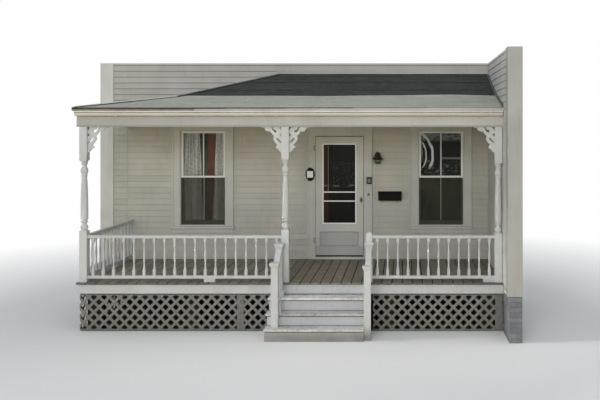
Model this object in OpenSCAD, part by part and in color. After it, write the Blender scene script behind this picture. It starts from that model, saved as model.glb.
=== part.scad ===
// Front porch of a clapboard house: a low deck with a lattice skirt, three turned posts with
// fretwork brackets, turned balusters, wide steps with newels, and a hipped roof of two pitches.
// Drawn with x from the deck's free left end, y = 0 at the face of the house wall (front is -y)
// and z = 0 at the deck's top, then moved so that the origin is under the middle of its box.

/* [Deck] */
// Length of the deck along the house
deck_len = 6475; // [5200:5:8000]
// Depth from the house wall to the face of the posts
deck_depth = 2100; // [1700:5:2600]
// Height of the deck's top above the ground
deck_h = 740; // [660:5:900]
// Thickness of the floor boards
board_t = 30; // [20:1:40]
// Pitch of the floor boards
board_pitch = 154; // [90:1:200]
// Gap between two floor boards
board_gap = 13; // [4:1:20]
// How far the boards run past the fascia
board_nose = 20; // [5:1:40]
// Thickness of the fascia board
fascia_t = 25; // [18:1:35]
// Depth of the joists and of the fascia below the boards
joist_h = 138; // [120:1:220]
// Thickness of the joists
joist_t = 45; // [35:1:60]
// Rows of joists from front to back
joist_rows = 5; // [3:1:8]
// Distance from the deck's ends to the middle of the outer piers
pier_in = 250; // [150:10:500]
// Side of a pier
pier_w = 200; // [150:5:300]

/* [Lattice] */
// Width of a lath
lath_w = 41; // [25:1:50]
// Thickness of a lath
lath_t = 8; // [6:1:12]
// Pitch of the laths, measured across them
lath_pitch = 110; // [80:1:150]
// Gap between the lattice and the ground
lattice_foot = 12; // [5:1:60]
// Gap between the fascia and the lattice
lattice_gap = 16; // [0:1:40]
// Height of the battens behind the lattice
batten_h = 18; // [15:1:40]

/* [Posts] */
// Side of a post's square blocks
post_w = 114; // [90:1:140]
// Height of the underside of the beam above the deck
beam_z = 2363; // [2100:1:2700]
// Height of the lower square block
post_base_h = 795; // [600:1:900]
// Height of the turned part
post_turn_h = 1070; // [800:1:1200]
// Middle of the middle post, from the deck's left end
mid_post_x = 3160; // [2800:1:3400]
// Gap between the right post and the side wall
right_post_gap = 19; // [10:1:80]
// Set-in of the left post from the beam's left end
left_post_in = 38; // [0:1:60]
// How much lower the left post's turned part sits than the middle one's
left_post_drop = 16; // [0:1:60]
// How much lower the right post's turned part sits than the middle one's
right_post_drop = 52; // [0:1:60]
// Thickness of a fretwork bracket
bracket_t = 22; // [15:1:40]
// Height of a fretwork bracket
bracket_h = 396; // [300:1:450]

/* [Railing] */
// Underside of the bottom rail above the deck
rail_low = 54; // [40:1:100]
// Height of the bottom rail
low_rail_h = 42; // [35:1:60]
// Height of the top rail
top_rail_h = 42; // [35:1:60]
// Top of the top rail above the deck
rail_top = 709; // [650:1:950]
// Width of the rails
rail_w = 60; // [45:1:90]
// Pitch of the balusters
baluster_pitch = 155; // [110:1:200]
// Side of a baluster's square ends
baluster_w = 42; // [30:1:50]

/* [Steps] */
// Left end of the treads
step_x = 2940; // [2800:1:3050]
// Left face of the lower right newel, where the treads end
step_end = 4384; // [4200:1:4500]
// Drop from the deck to the first tread
drop_1 = 179; // [175:1:195]
// Drop to the second tread
drop_2 = 192; // [150:1:195]
// Drop to the third tread
drop_3 = 184; // [150:1:195]
// Depth of the first tread
going_1 = 215; // [200:1:400]
// Depth of the other treads
going = 175; // [170:1:320]
// How far a tread stands out over its riser
nosing = 28; // [15:1:40]
// Thickness of a tread
tread_t = 38; // [22:1:40]
// How far the treads run past the risers at the left
step_over = 18; // [10:1:40]
// Thickness of a riser
riser_t = 20; // [15:1:25]
// Thickness of a stringer
stringer_t = 40; // [30:1:50]
// Side of a newel
newel_w = 100; // [80:1:120]
// Middle of the left newels, from the deck's left end
left_newel_x = 3088; // [3060:1:3160]
// Top of the upper newels' caps above the deck
upper_newel_top = 604; // [560:1:700]
// Top of the left lower newel's cap above the deck
lower_left_top = 384; // [300:1:450]
// Top of the right lower newel's cap above the deck
lower_right_top = 342; // [300:1:450]
// Width of a newel's cap
cap_w = 142; // [120:1:170]
// Height of the square head on the upper right newel, where the railing's top rail ends
head_h = 108; // [100:1:160]
// Height of the rounded top on that head
dome_h = 52; // [40:1:120]
// Height of a stair handrail
hand_h = 45; // [35:1:60]
// Width of a stair handrail
hand_w = 85; // [60:1:95]

/* [Roof] */
// Top of the roof's edge above the deck
eave_z = 2653; // [2600:1:2800]
// Roof edge past the face of the posts, in front
eave_front = 90; // [60:1:300]
// Roof edge past the left post's outer face
eave_left = 20; // [0:1:150]
// Distance from the wall to the crease between the two pitches
crease_y = 1370; // [1200:1:1500]
// Height of the crease above the roof edge
crease_rise = 194; // [150:1:300]
// Crease of the left slope, from the deck's left end
crease_x = 1304; // [1100:1:1400]
// Height of the roof's top above the roof edge
roof_rise = 654; // [550:1:800]
// Where the hip meets the wall, from the deck's left end
hip_x = 2736; // [2400:1:2900]
// Thickness of the roof boards and covering, measured upright
roof_t = 30; // [20:1:50]
// Depth of the rafters
rafter_h = 90; // [70:1:120]
// Thickness of the rafters
rafter_t = 40; // [30:1:50]
// Spacing of the rafters
rafter_pitch = 610; // [400:5:700]
// Width of the hip cap
hip_cap_w = 120; // [80:1:160]
// Thickness of the hip cap
hip_cap_t = 8; // [4:1:15]
// Underside of the ceiling above the deck
ceiling_z = 2470; // [2400:1:2500]
// Thickness of the ceiling boards
ceiling_t = 15; // [12:1:20]

/* [Gutter] */
// Underside of the gutter above the deck
gutter_z = 2525; // [2480:1:2540]
// Height of the gutter
gutter_h = 78; // [60:1:90]
// Depth of the gutter
gutter_d = 112; // [95:1:130]
// Thickness of the gutter's sheet
gutter_t = 4; // [3:1:6]
// Spacing of the gutter clips
clip_pitch = 610; // [450:5:750]
// Height of the trim under the roof's edge
eave_trim_h = 50; // [35:1:50]
// Thickness of that trim
eave_trim_t = 12; // [8:1:20]

/* [House wall] */
// Thickness of the walls
wall_t = 150; // [120:1:250]
// House wall past the deck's left end
wall_past = 477; // [300:1:700]
// Wall above the roof's top line
wall_above = 200; // [100:1:400]
// Top of the foundation below the deck's top
foundation_drop = 170; // [150:1:250]
// Top of the side wall's foundation below the deck's top
wing_drop = 71; // [50:1:250]
// How far the side wall runs past the face of the posts
side_past = 645; // [250:1:700]
// Width of the side wall's corner board on the front
front_board_w = 186; // [170:1:300]
// Width of the other corner boards
corner_w = 220; // [90:1:240]
// Width of the board at the house wall's left corner
house_board_w = 233; // [150:1:260]
// Thickness of the corner boards
corner_t = 25; // [18:1:35]

/* [Windows] */
// Middle of the left window, from the deck's left end
left_window_x = 1358; // [1100:1:1800]
// Middle of the right window, from the side wall
right_window_in = 849; // [750:1:1050]
// Width of a window's glass
glass_w = 722; // [500:1:800]
// Bottom of the glass above the deck
glass_z = 684; // [600:1:800]
// Height from the glass's bottom to its top
glass_h = 1569; // [1200:1:1600]
// Width of the sash stiles and top rail
sash_w = 45; // [35:1:60]
// Height of the lower sash's bottom rail
sash_foot = 70; // [50:1:75]
// Thickness of a sash
sash_t = 36; // [30:1:45]
// Thickness of the window's jambs
jamb_t = 20; // [15:1:30]
// Width of the window's casing boards
casing_w = 144; // [100:1:160]
// Thickness of all casing boards
casing_t = 32; // [25:1:40]
// Thickness of the window glass
pane_t = 4; // [3:1:6]

/* [Door] */
// Left edge of the door leaf, from the side wall
leaf_in = 3093; // [2950:1:3150]
// Width of the door leaf
leaf_w = 850; // [760:1:870]
// Bottom of the leaf above the deck
leaf_z = 45; // [30:1:60]
// Height of the leaf
leaf_h = 2145; // [1900:1:2150]
// Thickness of the leaf
leaf_t = 30; // [25:1:40]
// Width of the leaf's stiles and top rail
stile_w = 142; // [100:1:160]
// Bottom of the door's glass above the deck
door_glass_z = 650; // [500:1:800]
// Height of the upper mid rail above the deck
mid_rail_1 = 1188; // [1150:1:1400]
// Height of the lower mid rail above the deck
mid_rail_2 = 1027; // [900:1:1100]
// Height of a mid rail
mid_rail_h = 23; // [15:1:40]
// Lower edge of the leaf's kick panel above the deck
kick_low = 205; // [150:1:300]
// Upper edge of the leaf's kick panel above the deck
kick_high = 496; // [400:1:560]
// Width of the groove round the kick panel
kick_groove = 12; // [6:1:20]
// Running gap round the leaf
leaf_gap = 5; // [5:1:8]
// How far the leaf laps over the doorway on each side
leaf_lap = 37; // [20:1:60]
// Width of the door's casing boards
door_casing_w = 154; // [100:1:160]
// Radius of a hinge knuckle
knuckle_r = 6; // [5:0.5:8]
// Radius of a hinge pin
pin_r = 3.5; // [2.5:0.5:4]
// Height of a hinge
hinge_h = 90; // [70:1:120]

/* [Wall fittings] */
// Middle of the oval plaque, from the door leaf's left edge
plaque_out = 98; // [80:1:120]
// Middle of the plaque above the deck
plaque_z = 1517; // [1400:1:1700]
// Width of the plaque
plaque_w = 152; // [90:1:180]
// Height of the plaque
plaque_h = 240; // [120:1:260]
// Middle of the lantern, from the door casing's right edge
lantern_out = 101; // [60:1:200]
// Lower edge of the lantern's hood above the deck
lantern_z = 1790; // [1700:1:1900]
// Radius of the lantern's hood
hood_r = 105; // [80:1:120]
// Left end of the mailbox, from the door casing's right edge
mailbox_out = 112; // [60:1:200]
// Underside of the mailbox above the deck
mailbox_z = 1051; // [900:1:1200]
// Length of the mailbox
mailbox_w = 411; // [300:1:450]
// Height of the mailbox
mailbox_h = 158; // [120:1:220]
// Depth of the mailbox
mailbox_d = 105; // [80:1:140]
// Middle of the keypad and bell above the deck
keypad_z = 1407; // [1300:1:1500]

/* [Hidden] */
white = [0.88, 0.88, 0.86];
gray_wood = [0.50, 0.46, 0.42];
stone_gray = [0.52, 0.54, 0.56];
sage = [0.62, 0.64, 0.59];
dark_green = [0.24, 0.28, 0.27];
black = [0.10, 0.10, 0.11];
pane_blue = [0.35, 0.40, 0.42];
// Small clearance between pieces that only lie close
near = 0.3;
// Height that is surely above everything
tall = 6000;

// Fascia, steps and newels
fascia_y = -deck_depth - 5;
board_front = fascia_y - board_nose;
rim_y = fascia_y + fascia_t;
fascia_low = -board_t - joist_h;
plane_1 = fascia_y - going_1;
plane_2 = plane_1 - going;
plane_3 = plane_2 - going;
tread_1 = -drop_1;
tread_2 = tread_1 - drop_2;
tread_3 = tread_2 - drop_3;
right_newel_x = step_end + newel_w / 2;
newel_y = plane_2 - nosing - 4 - newel_w / 2;
left_upper_y = board_front - newel_w / 2;
post_y = -deck_depth + post_w / 2;

// Outer box
front_y = min(plane_3 - nosing, -deck_depth - side_past - corner_t);
left_x = -wall_past;
side_x = deck_len;
right_x = side_x + front_board_w;
mid_x = (left_x + right_x) / 2;
mid_y = (front_y + wall_t) / 2;
roof_top = eave_z + roof_rise;
wall_top = roof_top + wall_above;

// Posts
post_xs = [left_post_in + post_w / 2, mid_post_x, deck_len - right_post_gap - post_w / 2];
post_drops = [left_post_drop, 0, right_post_drop];

// Windows
sash_out = glass_w + 2 * sash_w;
hole_w = sash_out + 2 * jamb_t;
hole_z = glass_z - sash_foot - 30;
hole_top = glass_z + glass_h + sash_w + jamb_t;
meet_z = glass_z + glass_h / 2;
window_xs = [left_window_x, deck_len - right_window_in];

// Door
leaf_x = deck_len - leaf_in;
door_hole_x = leaf_x + leaf_lap;
door_hole_w = leaf_w - 2 * leaf_lap;
door_hole_top = leaf_z + leaf_h - leaf_lap;
casing_in_x = leaf_x - leaf_gap;
casing_in_w = leaf_w + 2 * leaf_gap;
casing_in_top = leaf_z + leaf_h + leaf_gap;
casing_out_x = casing_in_x + casing_in_w + door_casing_w;
leaf_back = -leaf_gap;
leaf_front = leaf_back - leaf_t;
door_glass_x = leaf_x + stile_w;
door_glass_w = leaf_w - 2 * stile_w;
door_glass_top = leaf_z + leaf_h - stile_w;
hinge_x = leaf_x - leaf_gap / 2;
hinge_y = leaf_front - knuckle_r;
hinge_zs = [leaf_z + 250, leaf_z + leaf_h - 250];

// Fittings on the wall
plaque_x = leaf_x - plaque_out;
lantern_x = casing_out_x + lantern_out;
mailbox_x = casing_out_x + mailbox_out;

// Moves the porch so that its origin lies under the middle of its box
module place() {
    translate([-mid_x, -mid_y, deck_h]) children();
}

// A box between two corners
module block(a, b) {
    translate(a) cube(b - a);
}

// A shape drawn in y and z, run along x
module along_x(x0, x1) {
    translate([x0, 0, 0]) rotate([90, 0, 90]) linear_extrude(x1 - x0) children();
}

// A shape drawn in x and z, run along y
module along_y(y0, y1) {
    translate([0, y1, 0]) rotate([90, 0, 0]) linear_extrude(y1 - y0) children();
}

// Walls
module foundation_wall() color(stone_gray) place() {
    block([left_x, 0, -deck_h], [side_x, wall_t, -foundation_drop]);
    block([side_x, -deck_depth - side_past, -deck_h], [side_x + wall_t, wall_t, -wing_drop]);
    block([side_x, -deck_depth - side_past, -deck_h],
        [right_x, -deck_depth - side_past + wall_t, -wing_drop]);
}
module wall_with_window(x0, x1, window_x) {
    difference() {
        block([x0, 0, -foundation_drop], [x1, wall_t, wall_top]);
        block([window_x - hole_w / 2, -1, hole_z], [window_x + hole_w / 2, wall_t + 1, hole_top]);
    }
}
module back_wall_left() color(white) place()
    wall_with_window(left_x, door_hole_x, window_xs[0]);
module back_wall_right() color(white) place()
    wall_with_window(door_hole_x + door_hole_w, side_x, window_xs[1]);
module wall_over_door() color(white) place()
    block([door_hole_x, 0, door_hole_top], [door_hole_x + door_hole_w, wall_t, wall_top]);
module side_wall() color(white) place() {
    block([side_x, -deck_depth - side_past, -wing_drop], [side_x + wall_t, wall_t, wall_top]);
    block([side_x, -deck_depth - side_past, -wing_drop],
        [right_x, -deck_depth - side_past + wall_t, wall_top]);
}
module corner_boards() color(white) place() {
    front = -deck_depth - side_past;
    block([left_x, -corner_t, -foundation_drop], [left_x + house_board_w, 0, wall_top]);
    block([side_x, front - corner_t, -wing_drop], [right_x, front, wall_top]);
    block([side_x - corner_t, front - corner_t, -wing_drop], [side_x, front + corner_w, wall_top]);
}

// Windows
module window_casing(x) {
    out = hole_w / 2 + casing_w - jamb_t;
    inner = sash_out / 2;
    head_z = hole_top - jamb_t;
    translate([x, 0, 0]) {
        for (side = [0, 1]) mirror([side, 0, 0]) {
            block([inner, -casing_t, hole_z + near], [out, 0, head_z - near]);
            block([inner, near, hole_z + 30 + near], [hole_w / 2, wall_t, head_z - near]);
        }
        block([-out, -casing_t, head_z], [out, 0, hole_top + casing_w]);
        block([-hole_w / 2, near, head_z], [hole_w / 2, wall_t, hole_top]);
        block([-hole_w / 2, near, hole_z], [hole_w / 2, wall_t, hole_z + 30]);
        along_x(-out - 20, out + 20)
            polygon([[0, hole_z - 35], [-70, hole_z - 35], [-70, hole_z - 5], [0, hole_z]]);
        block([-inner + near, -40, hole_z + near], [inner - near, 0, hole_z + 30]);
    }
}
module window_casings() color(white) place()
    for (x = window_xs) window_casing(x);
module sash(x, y, z0, z1, foot, head) {
    difference() {
        block([x - sash_out / 2 + 2, y, z0], [x + sash_out / 2 - 2, y + sash_t, z1]);
        block([x - glass_w / 2, y - 1, z0 + foot], [x + glass_w / 2, y + sash_t + 1, z1 - head]);
        block([x - glass_w / 2 - 10, y + sash_t / 2 - pane_t / 2 - near, z0 + foot - 10],
            [x + glass_w / 2 + 10, y + sash_t / 2 + pane_t / 2 + near, z1 - head + 10]);
    }
}
upper_sash_y = 10;
lower_sash_y = upper_sash_y + sash_t + 4;
sash_lap = 20;
module upper_sashes() color(white) place() {
    for (x = window_xs)
        sash(x, upper_sash_y, meet_z - sash_lap, hole_top - jamb_t, 2 * sash_lap, sash_w);
}
module lower_sashes() color(white) place() {
    for (x = window_xs)
        sash(x, lower_sash_y, glass_z - sash_foot, meet_z + sash_lap, sash_foot, 2 * sash_lap);
}
module pane(x, y, z0, z1) {
    block([x - glass_w / 2 - 10, y + sash_t / 2 - pane_t / 2, z0 - 10],
        [x + glass_w / 2 + 10, y + sash_t / 2 + pane_t / 2, z1 + 10]);
}
module window_glass() color(pane_blue) place() {
    for (x = window_xs) {
        pane(x, upper_sash_y, meet_z + sash_lap, glass_z + glass_h);
        pane(x, lower_sash_y, glass_z, meet_z - sash_lap);
    }
}

// Door
module door_casing() color(white) place() {
    difference() {
        block([casing_in_x - door_casing_w, -casing_t, 0],
            [casing_out_x, 0, casing_in_top + door_casing_w + 20]);
        block([casing_in_x, -casing_t - 1, -1], [casing_in_x + casing_in_w, 1, casing_in_top]);
    }
}
module door_sill() color(white) place() {
    block([door_hole_x, 0, -foundation_drop], [door_hole_x + door_hole_w, wall_t, leaf_z - leaf_gap]);
    along_x(casing_in_x, casing_in_x + casing_in_w)
        polygon([[0, 0], [-60, 0], [-60, 20], [-40, leaf_z - leaf_gap], [0, leaf_z - leaf_gap]]);
}
module knuckle(z0, z1) {
    translate([hinge_x, hinge_y, z0]) cylinder(r = knuckle_r, h = z1 - z0, $fn = 32);
}
module door_hinges() color("silver") place() {
    third = hinge_h / 3;
    for (z = hinge_zs) {
        translate([hinge_x, hinge_y, z]) cylinder(r = pin_r, h = hinge_h, $fn = 32);
        block([hinge_x - 40, -casing_t - 3, z], [hinge_x - knuckle_r - 3, -casing_t, z + hinge_h]);
        for (a = [z, z + 2 * third + 0.5]) {
            knuckle(a, a + third - 0.5);
            block([hinge_x - knuckle_r - 6, hinge_y + 1, a], [hinge_x - 1, -casing_t, a + third - 0.5]);
        }
    }
}
module storm_door() color(white) place() {
    third = hinge_h / 3;
    groove = 5;
    difference() {
        block([leaf_x, leaf_front, leaf_z], [leaf_x + leaf_w, leaf_back, leaf_z + leaf_h]);
        for (span = [[door_glass_z, mid_rail_2], [mid_rail_2 + mid_rail_h, mid_rail_1],
                [mid_rail_1 + mid_rail_h, door_glass_top]])
            block([door_glass_x, leaf_front - 1, span[0]],
                [door_glass_x + door_glass_w, leaf_back + 1, span[1]]);
        block([door_glass_x - 8, -leaf_gap - leaf_t / 2 - pane_t / 2 - near, door_glass_z - 8],
            [door_glass_x + door_glass_w + 8, -leaf_gap - leaf_t / 2 + pane_t / 2 + near,
                door_glass_top + 8]);
        difference() {
            block([door_glass_x - 20, leaf_front - 1, kick_low],
                [door_glass_x + door_glass_w + 20, leaf_front + groove, kick_high]);
            block([door_glass_x - 20 + kick_groove, leaf_front - 2, kick_low + kick_groove],
                [door_glass_x + door_glass_w + 20 - kick_groove, leaf_front + groove + 1,
                    kick_high - kick_groove]);
        }
    }
    for (z = hinge_zs) {
        difference() {
            union() {
                knuckle(z + third, z + 2 * third);
                block([hinge_x, hinge_y + 2, z + third], [hinge_x + 14, leaf_front, z + 2 * third]);
            }
            translate([hinge_x, hinge_y, z]) cylinder(r = pin_r + near, h = hinge_h, $fn = 32);
        }
        block([hinge_x + knuckle_r + 4, leaf_front - 3, z], [hinge_x + 45, leaf_front, z + hinge_h]);
    }
}
module storm_door_glass() color(pane_blue) place() {
    mid = -leaf_gap - leaf_t / 2;
    block([door_glass_x - 8, mid - pane_t / 2, door_glass_z - 8],
        [door_glass_x + door_glass_w + 8, mid + pane_t / 2, door_glass_top + 8]);
}
handle_x = leaf_x + leaf_w - 36;
handle_z = 1058;
module door_handle() color("dimgray") place()
    translate([handle_x, leaf_front, handle_z]) rotate([90, 0, 0]) {
        linear_extrude(6) polygon([[-30, 0], [0, -62], [30, 0], [0, 62]]);
        translate([0, 0, 5]) rotate_extrude($fn = 32)
            polygon([[0, 0], [9, 0], [8, 16], [15, 22], [17, 30], [12, 38], [0, 40]]);
    }

// Fittings on the wall
module plaque() color(black) place() {
    translate([plaque_x, -casing_t, plaque_z]) rotate([90, 0, 0]) {
        linear_extrude(10) polygon([for (a = [0:10:350])
            [plaque_w / 2 * cos(a), plaque_h / 2 * sin(a)]]);
        translate([-plaque_w * 0.31, -plaque_h * 0.27, 10]) cube([plaque_w * 0.62, plaque_h * 0.54, 3]);
    }
}
module wall_lantern() color(black) place() {
    arm = 120;
    translate([lantern_x, -arm, lantern_z]) {
        rotate_extrude($fn = 48) polygon([[0, 128], [7, 126], [10, 116], [24, 108], [42, 94], [52, 74],
            [58, 52], [68, 36], [84, 20], [hood_r, 4], [hood_r, 0], [hood_r - 8, 0], [60, 32], [0, 44]]);
        for (a = [0:60:300]) rotate([0, 0, a])
            translate([45, -2.5, -66]) rotate([0, 11.4, 0]) cube([5, 5, 98]);
        translate([0, 0, -76]) rotate_extrude($fn = 48)
            polygon([[0, 0], [40, 0], [51, 6], [51, 20], [46, 20], [44, 10], [0, 10]]);
        translate([0, 0, 84]) rotate([-90, 0, 0]) cylinder(r = 9, h = arm - 6, $fn = 24);
    }
    translate([lantern_x, 0, lantern_z + 84]) rotate([90, 0, 0]) cylinder(r = 45, h = 14, $fn = 48);
}
module lantern_globe() color("white") place() {
    translate([lantern_x, -120, lantern_z - 66 + near]) rotate_extrude($fn = 48)
        polygon([[0, 0], [36, 0], [42, 10], [52, 50], [54, 70], [46, 88], [0, 92]]);
}
module mailbox() color(black) place() {
    along_x(mailbox_x, mailbox_x + mailbox_w) polygon([[0, mailbox_z], [-mailbox_d, mailbox_z],
        [-mailbox_d, mailbox_z + mailbox_h * 0.75], [-mailbox_d * 0.25, mailbox_z + mailbox_h],
        [0, mailbox_z + mailbox_h]]);
    along_x(mailbox_x - 4, mailbox_x + mailbox_w + 4) polygon([
        [-mailbox_d - 4, mailbox_z + mailbox_h * 0.66], [-mailbox_d, mailbox_z + mailbox_h * 0.66],
        [-mailbox_d, mailbox_z + mailbox_h * 0.75], [-mailbox_d * 0.25, mailbox_z + mailbox_h],
        [-mailbox_d * 0.25, mailbox_z + mailbox_h + 4],
        [-mailbox_d - 4, mailbox_z + mailbox_h * 0.75 + 2]]);
}
module keypad_and_bell() color(black) place() {
    keypad_x = casing_in_x + casing_in_w + door_casing_w * 0.66;
    block([keypad_x - 47, -casing_t - 24, keypad_z - 61], [keypad_x + 47, -casing_t, keypad_z + 61]);
    translate([keypad_x - 9, -casing_t, keypad_z - 253]) rotate([90, 0, 0]) {
        cylinder(r = 21, h = 8, $fn = 40);
        cylinder(r = 11, h = 14, $fn = 40);
    }
}

// Deck
module deck_piers() color(stone_gray) place() {
    n = 5;
    for (i = [0:n - 1]) {
        x = pier_in + i * (deck_len - 2 * pier_in) / (n - 1);
        block([x - pier_w / 2, rim_y + 20, -deck_h], [x + pier_w / 2, rim_y + 20 + pier_w, fascia_low]);
    }
}
module deck_frame() color(gray_wood) place() {
    x0 = 20 + fascia_t;
    spacing = (-rim_y - joist_t) / (joist_rows - 1);
    for (i = [0:joist_rows - 1])
        block([x0, rim_y + i * spacing, fascia_low], [side_x, rim_y + i * spacing + joist_t, -board_t]);
    for (i = [0:joist_rows - 2], x = [x0, side_x / 2, side_x - joist_t])
        block([x, rim_y + i * spacing + joist_t + near, fascia_low],
            [x + joist_t, rim_y + (i + 1) * spacing - near, -board_t]);
}
module deck_boards() color(gray_wood) place() {
    n = floor(deck_len / board_pitch);
    step = (deck_len + board_gap) / n;
    for (i = [0:n - 1])
        block([i * step, board_front, -board_t], [(i + 1) * step - board_gap, 0, 0]);
}
module deck_fascia() color(white) place() {
    block([20, fascia_y, fascia_low], [side_x, rim_y, -board_t]);
    block([20, rim_y, fascia_low], [20 + fascia_t, 0, -board_t]);
}

// Lattice, drawn in a plane and stood up; two layers of laths on two battens behind them
module lath_layer(length, height, slant) {
    step = lath_pitch * sqrt(2);
    n = ceil((length + height) / step) + 1;
    intersection() {
        union() for (i = [-n:n])
            translate([length / 2 + i * step, height / 2, 0]) rotate([0, 0, slant])
                translate([-lath_w / 2, -height * 1.5, 0]) cube([lath_w, height * 3, lath_t]);
        cube([length, height, lath_t]);
    }
}
module lattice_panel(length, height) {
    lath_layer(length, height, -45);
    translate([0, 0, lath_t]) lath_layer(length, height, 45);
    for (y = [0, height - batten_h])
        translate([0, y, 2 * lath_t]) cube([length, batten_h, 20]);
}
lattice_low = -deck_h + lattice_foot;
lattice_h = fascia_low - lattice_gap - lattice_low;
module lattice_front() color(white) place() {
    for (span = [[20 + fascia_t, step_x + step_over - near], [step_end + newel_w + 10, side_x - 10]])
        translate([span[0], rim_y - 2 * lath_t, lattice_low]) rotate([90, 0, 0]) mirror([0, 0, 1])
            lattice_panel(span[1] - span[0], lattice_h);
}
module lattice_side() color(white) place() {
    translate([20 + fascia_t - 2 * lath_t, rim_y + 24, lattice_low])
        rotate([90, 0, 90]) lattice_panel(-rim_y - 24, lattice_h);
}

// Steps
module stringer(x) {
    along_x(x, x + stringer_t) polygon([
        [fascia_y, tread_1 - tread_t], [plane_1 + riser_t, tread_1 - tread_t],
        [plane_1 + riser_t, tread_2 - tread_t], [plane_2 + riser_t, tread_2 - tread_t],
        [plane_2 + riser_t, tread_3 - tread_t], [plane_3 + riser_t, tread_3 - tread_t],
        [plane_3 + riser_t, -deck_h], [fascia_y, -deck_h]]);
}
stringer_xs = [step_x + step_over, (step_x + step_end - stringer_t) / 2, step_end - stringer_t];
module skirt_piece(x0, x1, y, z, rise) {
    along_x(x0, x1) polygon([[y, z], [y - rise, z], [y, z + rise]]);
}
module step_stringers() color(white) place() {
    for (x = stringer_xs) stringer(x);
    skirt_piece(left_newel_x + 22, left_newel_x + 82, left_upper_y - newel_w / 2, tread_1, 90);
    skirt_piece(left_newel_x + 22, left_newel_x + 62, plane_1, tread_2, drop_2 - tread_t - near);
}
module step_risers() color(white) place() {
    block([step_x + step_over, plane_1, tread_2], [step_end, plane_1 + riser_t, tread_1 - tread_t]);
    block([step_x + step_over, plane_2, tread_3], [step_end, plane_2 + riser_t, tread_2 - tread_t]);
    block([step_x + step_over / 2, plane_3, -deck_h], [step_end, plane_3 + riser_t, tread_3 - tread_t]);
}
module tread(y0, y1, z) {
    block([step_x, y1 - nosing, z - tread_t], [step_end, y0, z]);
}
module step_treads() color(stone_gray) place() {
    tread(fascia_y, plane_1, tread_1);
    tread(plane_1, plane_2, tread_2);
    tread(plane_2, plane_3, tread_3);
}

// Turned work. A bulge is a round belly on the radius between two heights.
function bulge(r0, r1, z0, z1, n) =
    [for (i = [0:n]) [r0 + (r1 - r0) * sin(180 * i / n), z0 + (z1 - z0) * i / n]];
function post_profile(r, h) = concat(
    [[0, 0], [r * 0.96, 0], [r * 0.96, h * 0.009]],
    bulge(r * 0.70, r * 1.0, h * 0.012, h * 0.086, 8),
    bulge(r * 0.64, r * 0.60, h * 0.089, h * 0.113, 2),
    bulge(r * 0.74, r * 0.98, h * 0.116, h * 0.138, 6),
    bulge(r * 0.76, r * 0.72, h * 0.142, h * 0.163, 2),
    [for (i = [0:12]) [r * (0.97 - 0.30 * pow(i / 12, 2.6)), h * (0.168 + 0.599 * i / 12)]],
    bulge(r * 0.70, r * 0.81, h * 0.770, h * 0.797, 4),
    bulge(r * 0.72, r * 0.98, h * 0.806, h * 0.900, 8),
    bulge(r * 0.66, r * 0.62, h * 0.904, h * 0.938, 4),
    bulge(r * 0.70, r * 0.88, h * 0.942, h * 0.973, 6),
    [[r * 0.95, h * 0.978], [r * 0.95, h], [0, h]]);
module turned_post(drop) {
    w = post_w / 2;
    base = post_base_h - drop;
    top_z = base + post_turn_h;
    translate([-w, -w, 0]) cube([post_w, post_w, base]);
    translate([0, 0, base]) rotate_extrude($fn = 40) polygon(post_profile(w, post_turn_h));
    translate([-w, -w, top_z]) cube([post_w, post_w, beam_z - top_z]);
}
module porch_posts() color(white) place()
    for (i = [0:2]) translate([post_xs[i], post_y, 0]) turned_post(post_drops[i]);

// Fretwork bracket, drawn 396 high with x away from the post and y down from the beam
module bracket_outline() {
    scale(bracket_h / 396) mirror([0, 1]) difference() {
        polygon([[0, 0], [300, 0], [312, 10], [306, 20], [285, 16], [262, 22], [256, 42], [240, 62],
            [222, 60], [212, 76], [190, 74], [178, 62], [172, 74], [158, 98], [140, 122], [122, 138],
            [118, 147], [128, 162], [130, 186], [120, 212], [102, 238], [78, 262], [68, 276], [82, 290],
            [92, 308], [88, 322], [70, 330], [56, 342], [48, 358], [30, 372], [14, 390], [0, 396]]);
        polygon([[143, -1], [157, -1], [151, 28], [136, 58], [116, 82], [94, 90], [79, 80], [78, 62],
            [90, 48], [110, 46], [126, 34], [136, 16]]);
        polygon([[-1, -1], [54, -1], [36, 8], [21, 24], [12, 46], [-1, 50]]);
        polygon([[-1, 100], [14, 104], [26, 116], [28, 128], [20, 140], [-1, 146]]);
        polygon([[60, 172], [76, 168], [82, 184], [64, 212], [38, 232], [10, 246], [4, 236], [28, 210],
            [46, 190]]);
    }
}
module bracket(x, side) {
    translate([x, post_y + bracket_t / 2, beam_z]) mirror([side < 0 ? 1 : 0, 0, 0])
        rotate([90, 0, 0]) linear_extrude(bracket_t) bracket_outline();
}
module post_brackets() color(white) place() {
    bracket(post_xs[0] + post_w / 2, 1);
    bracket(post_xs[1] - post_w / 2, -1);
    bracket(post_xs[1] + post_w / 2, 1);
    bracket(post_xs[2] - post_w / 2, -1);
}

// Railings
function baluster_profile(r, h) = concat(
    [[0, 0], [r * 0.85, 0], [r * 0.85, h * 0.02], [r * 0.80, h * 0.05], [r * 0.55, h * 0.13]],
    bulge(r * 0.50, r * 0.75, h * 0.145, h * 0.185, 4),
    bulge(r * 0.48, r * 0.84, h * 0.21, h * 0.765, 8),
    bulge(r * 0.50, r * 0.74, h * 0.775, h * 0.81, 4),
    [[r * 0.50, h * 0.83], [r * 0.55, h * 0.88], [r * 0.80, h * 0.97], [r * 0.85, h], [0, h]]);
module baluster() {
    w = baluster_w / 2;
    z0 = rail_low + low_rail_h + near;
    z1 = rail_top - top_rail_h - near;
    foot = 95;
    head = 58;
    translate([-w, -w, z0]) cube([baluster_w, baluster_w, foot]);
    translate([0, 0, z0 + foot]) rotate_extrude($fn = 24)
        polygon(baluster_profile(w, z1 - z0 - foot - head));
    translate([-w, -w, z1 - head]) cube([baluster_w, baluster_w, head]);
}
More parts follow.
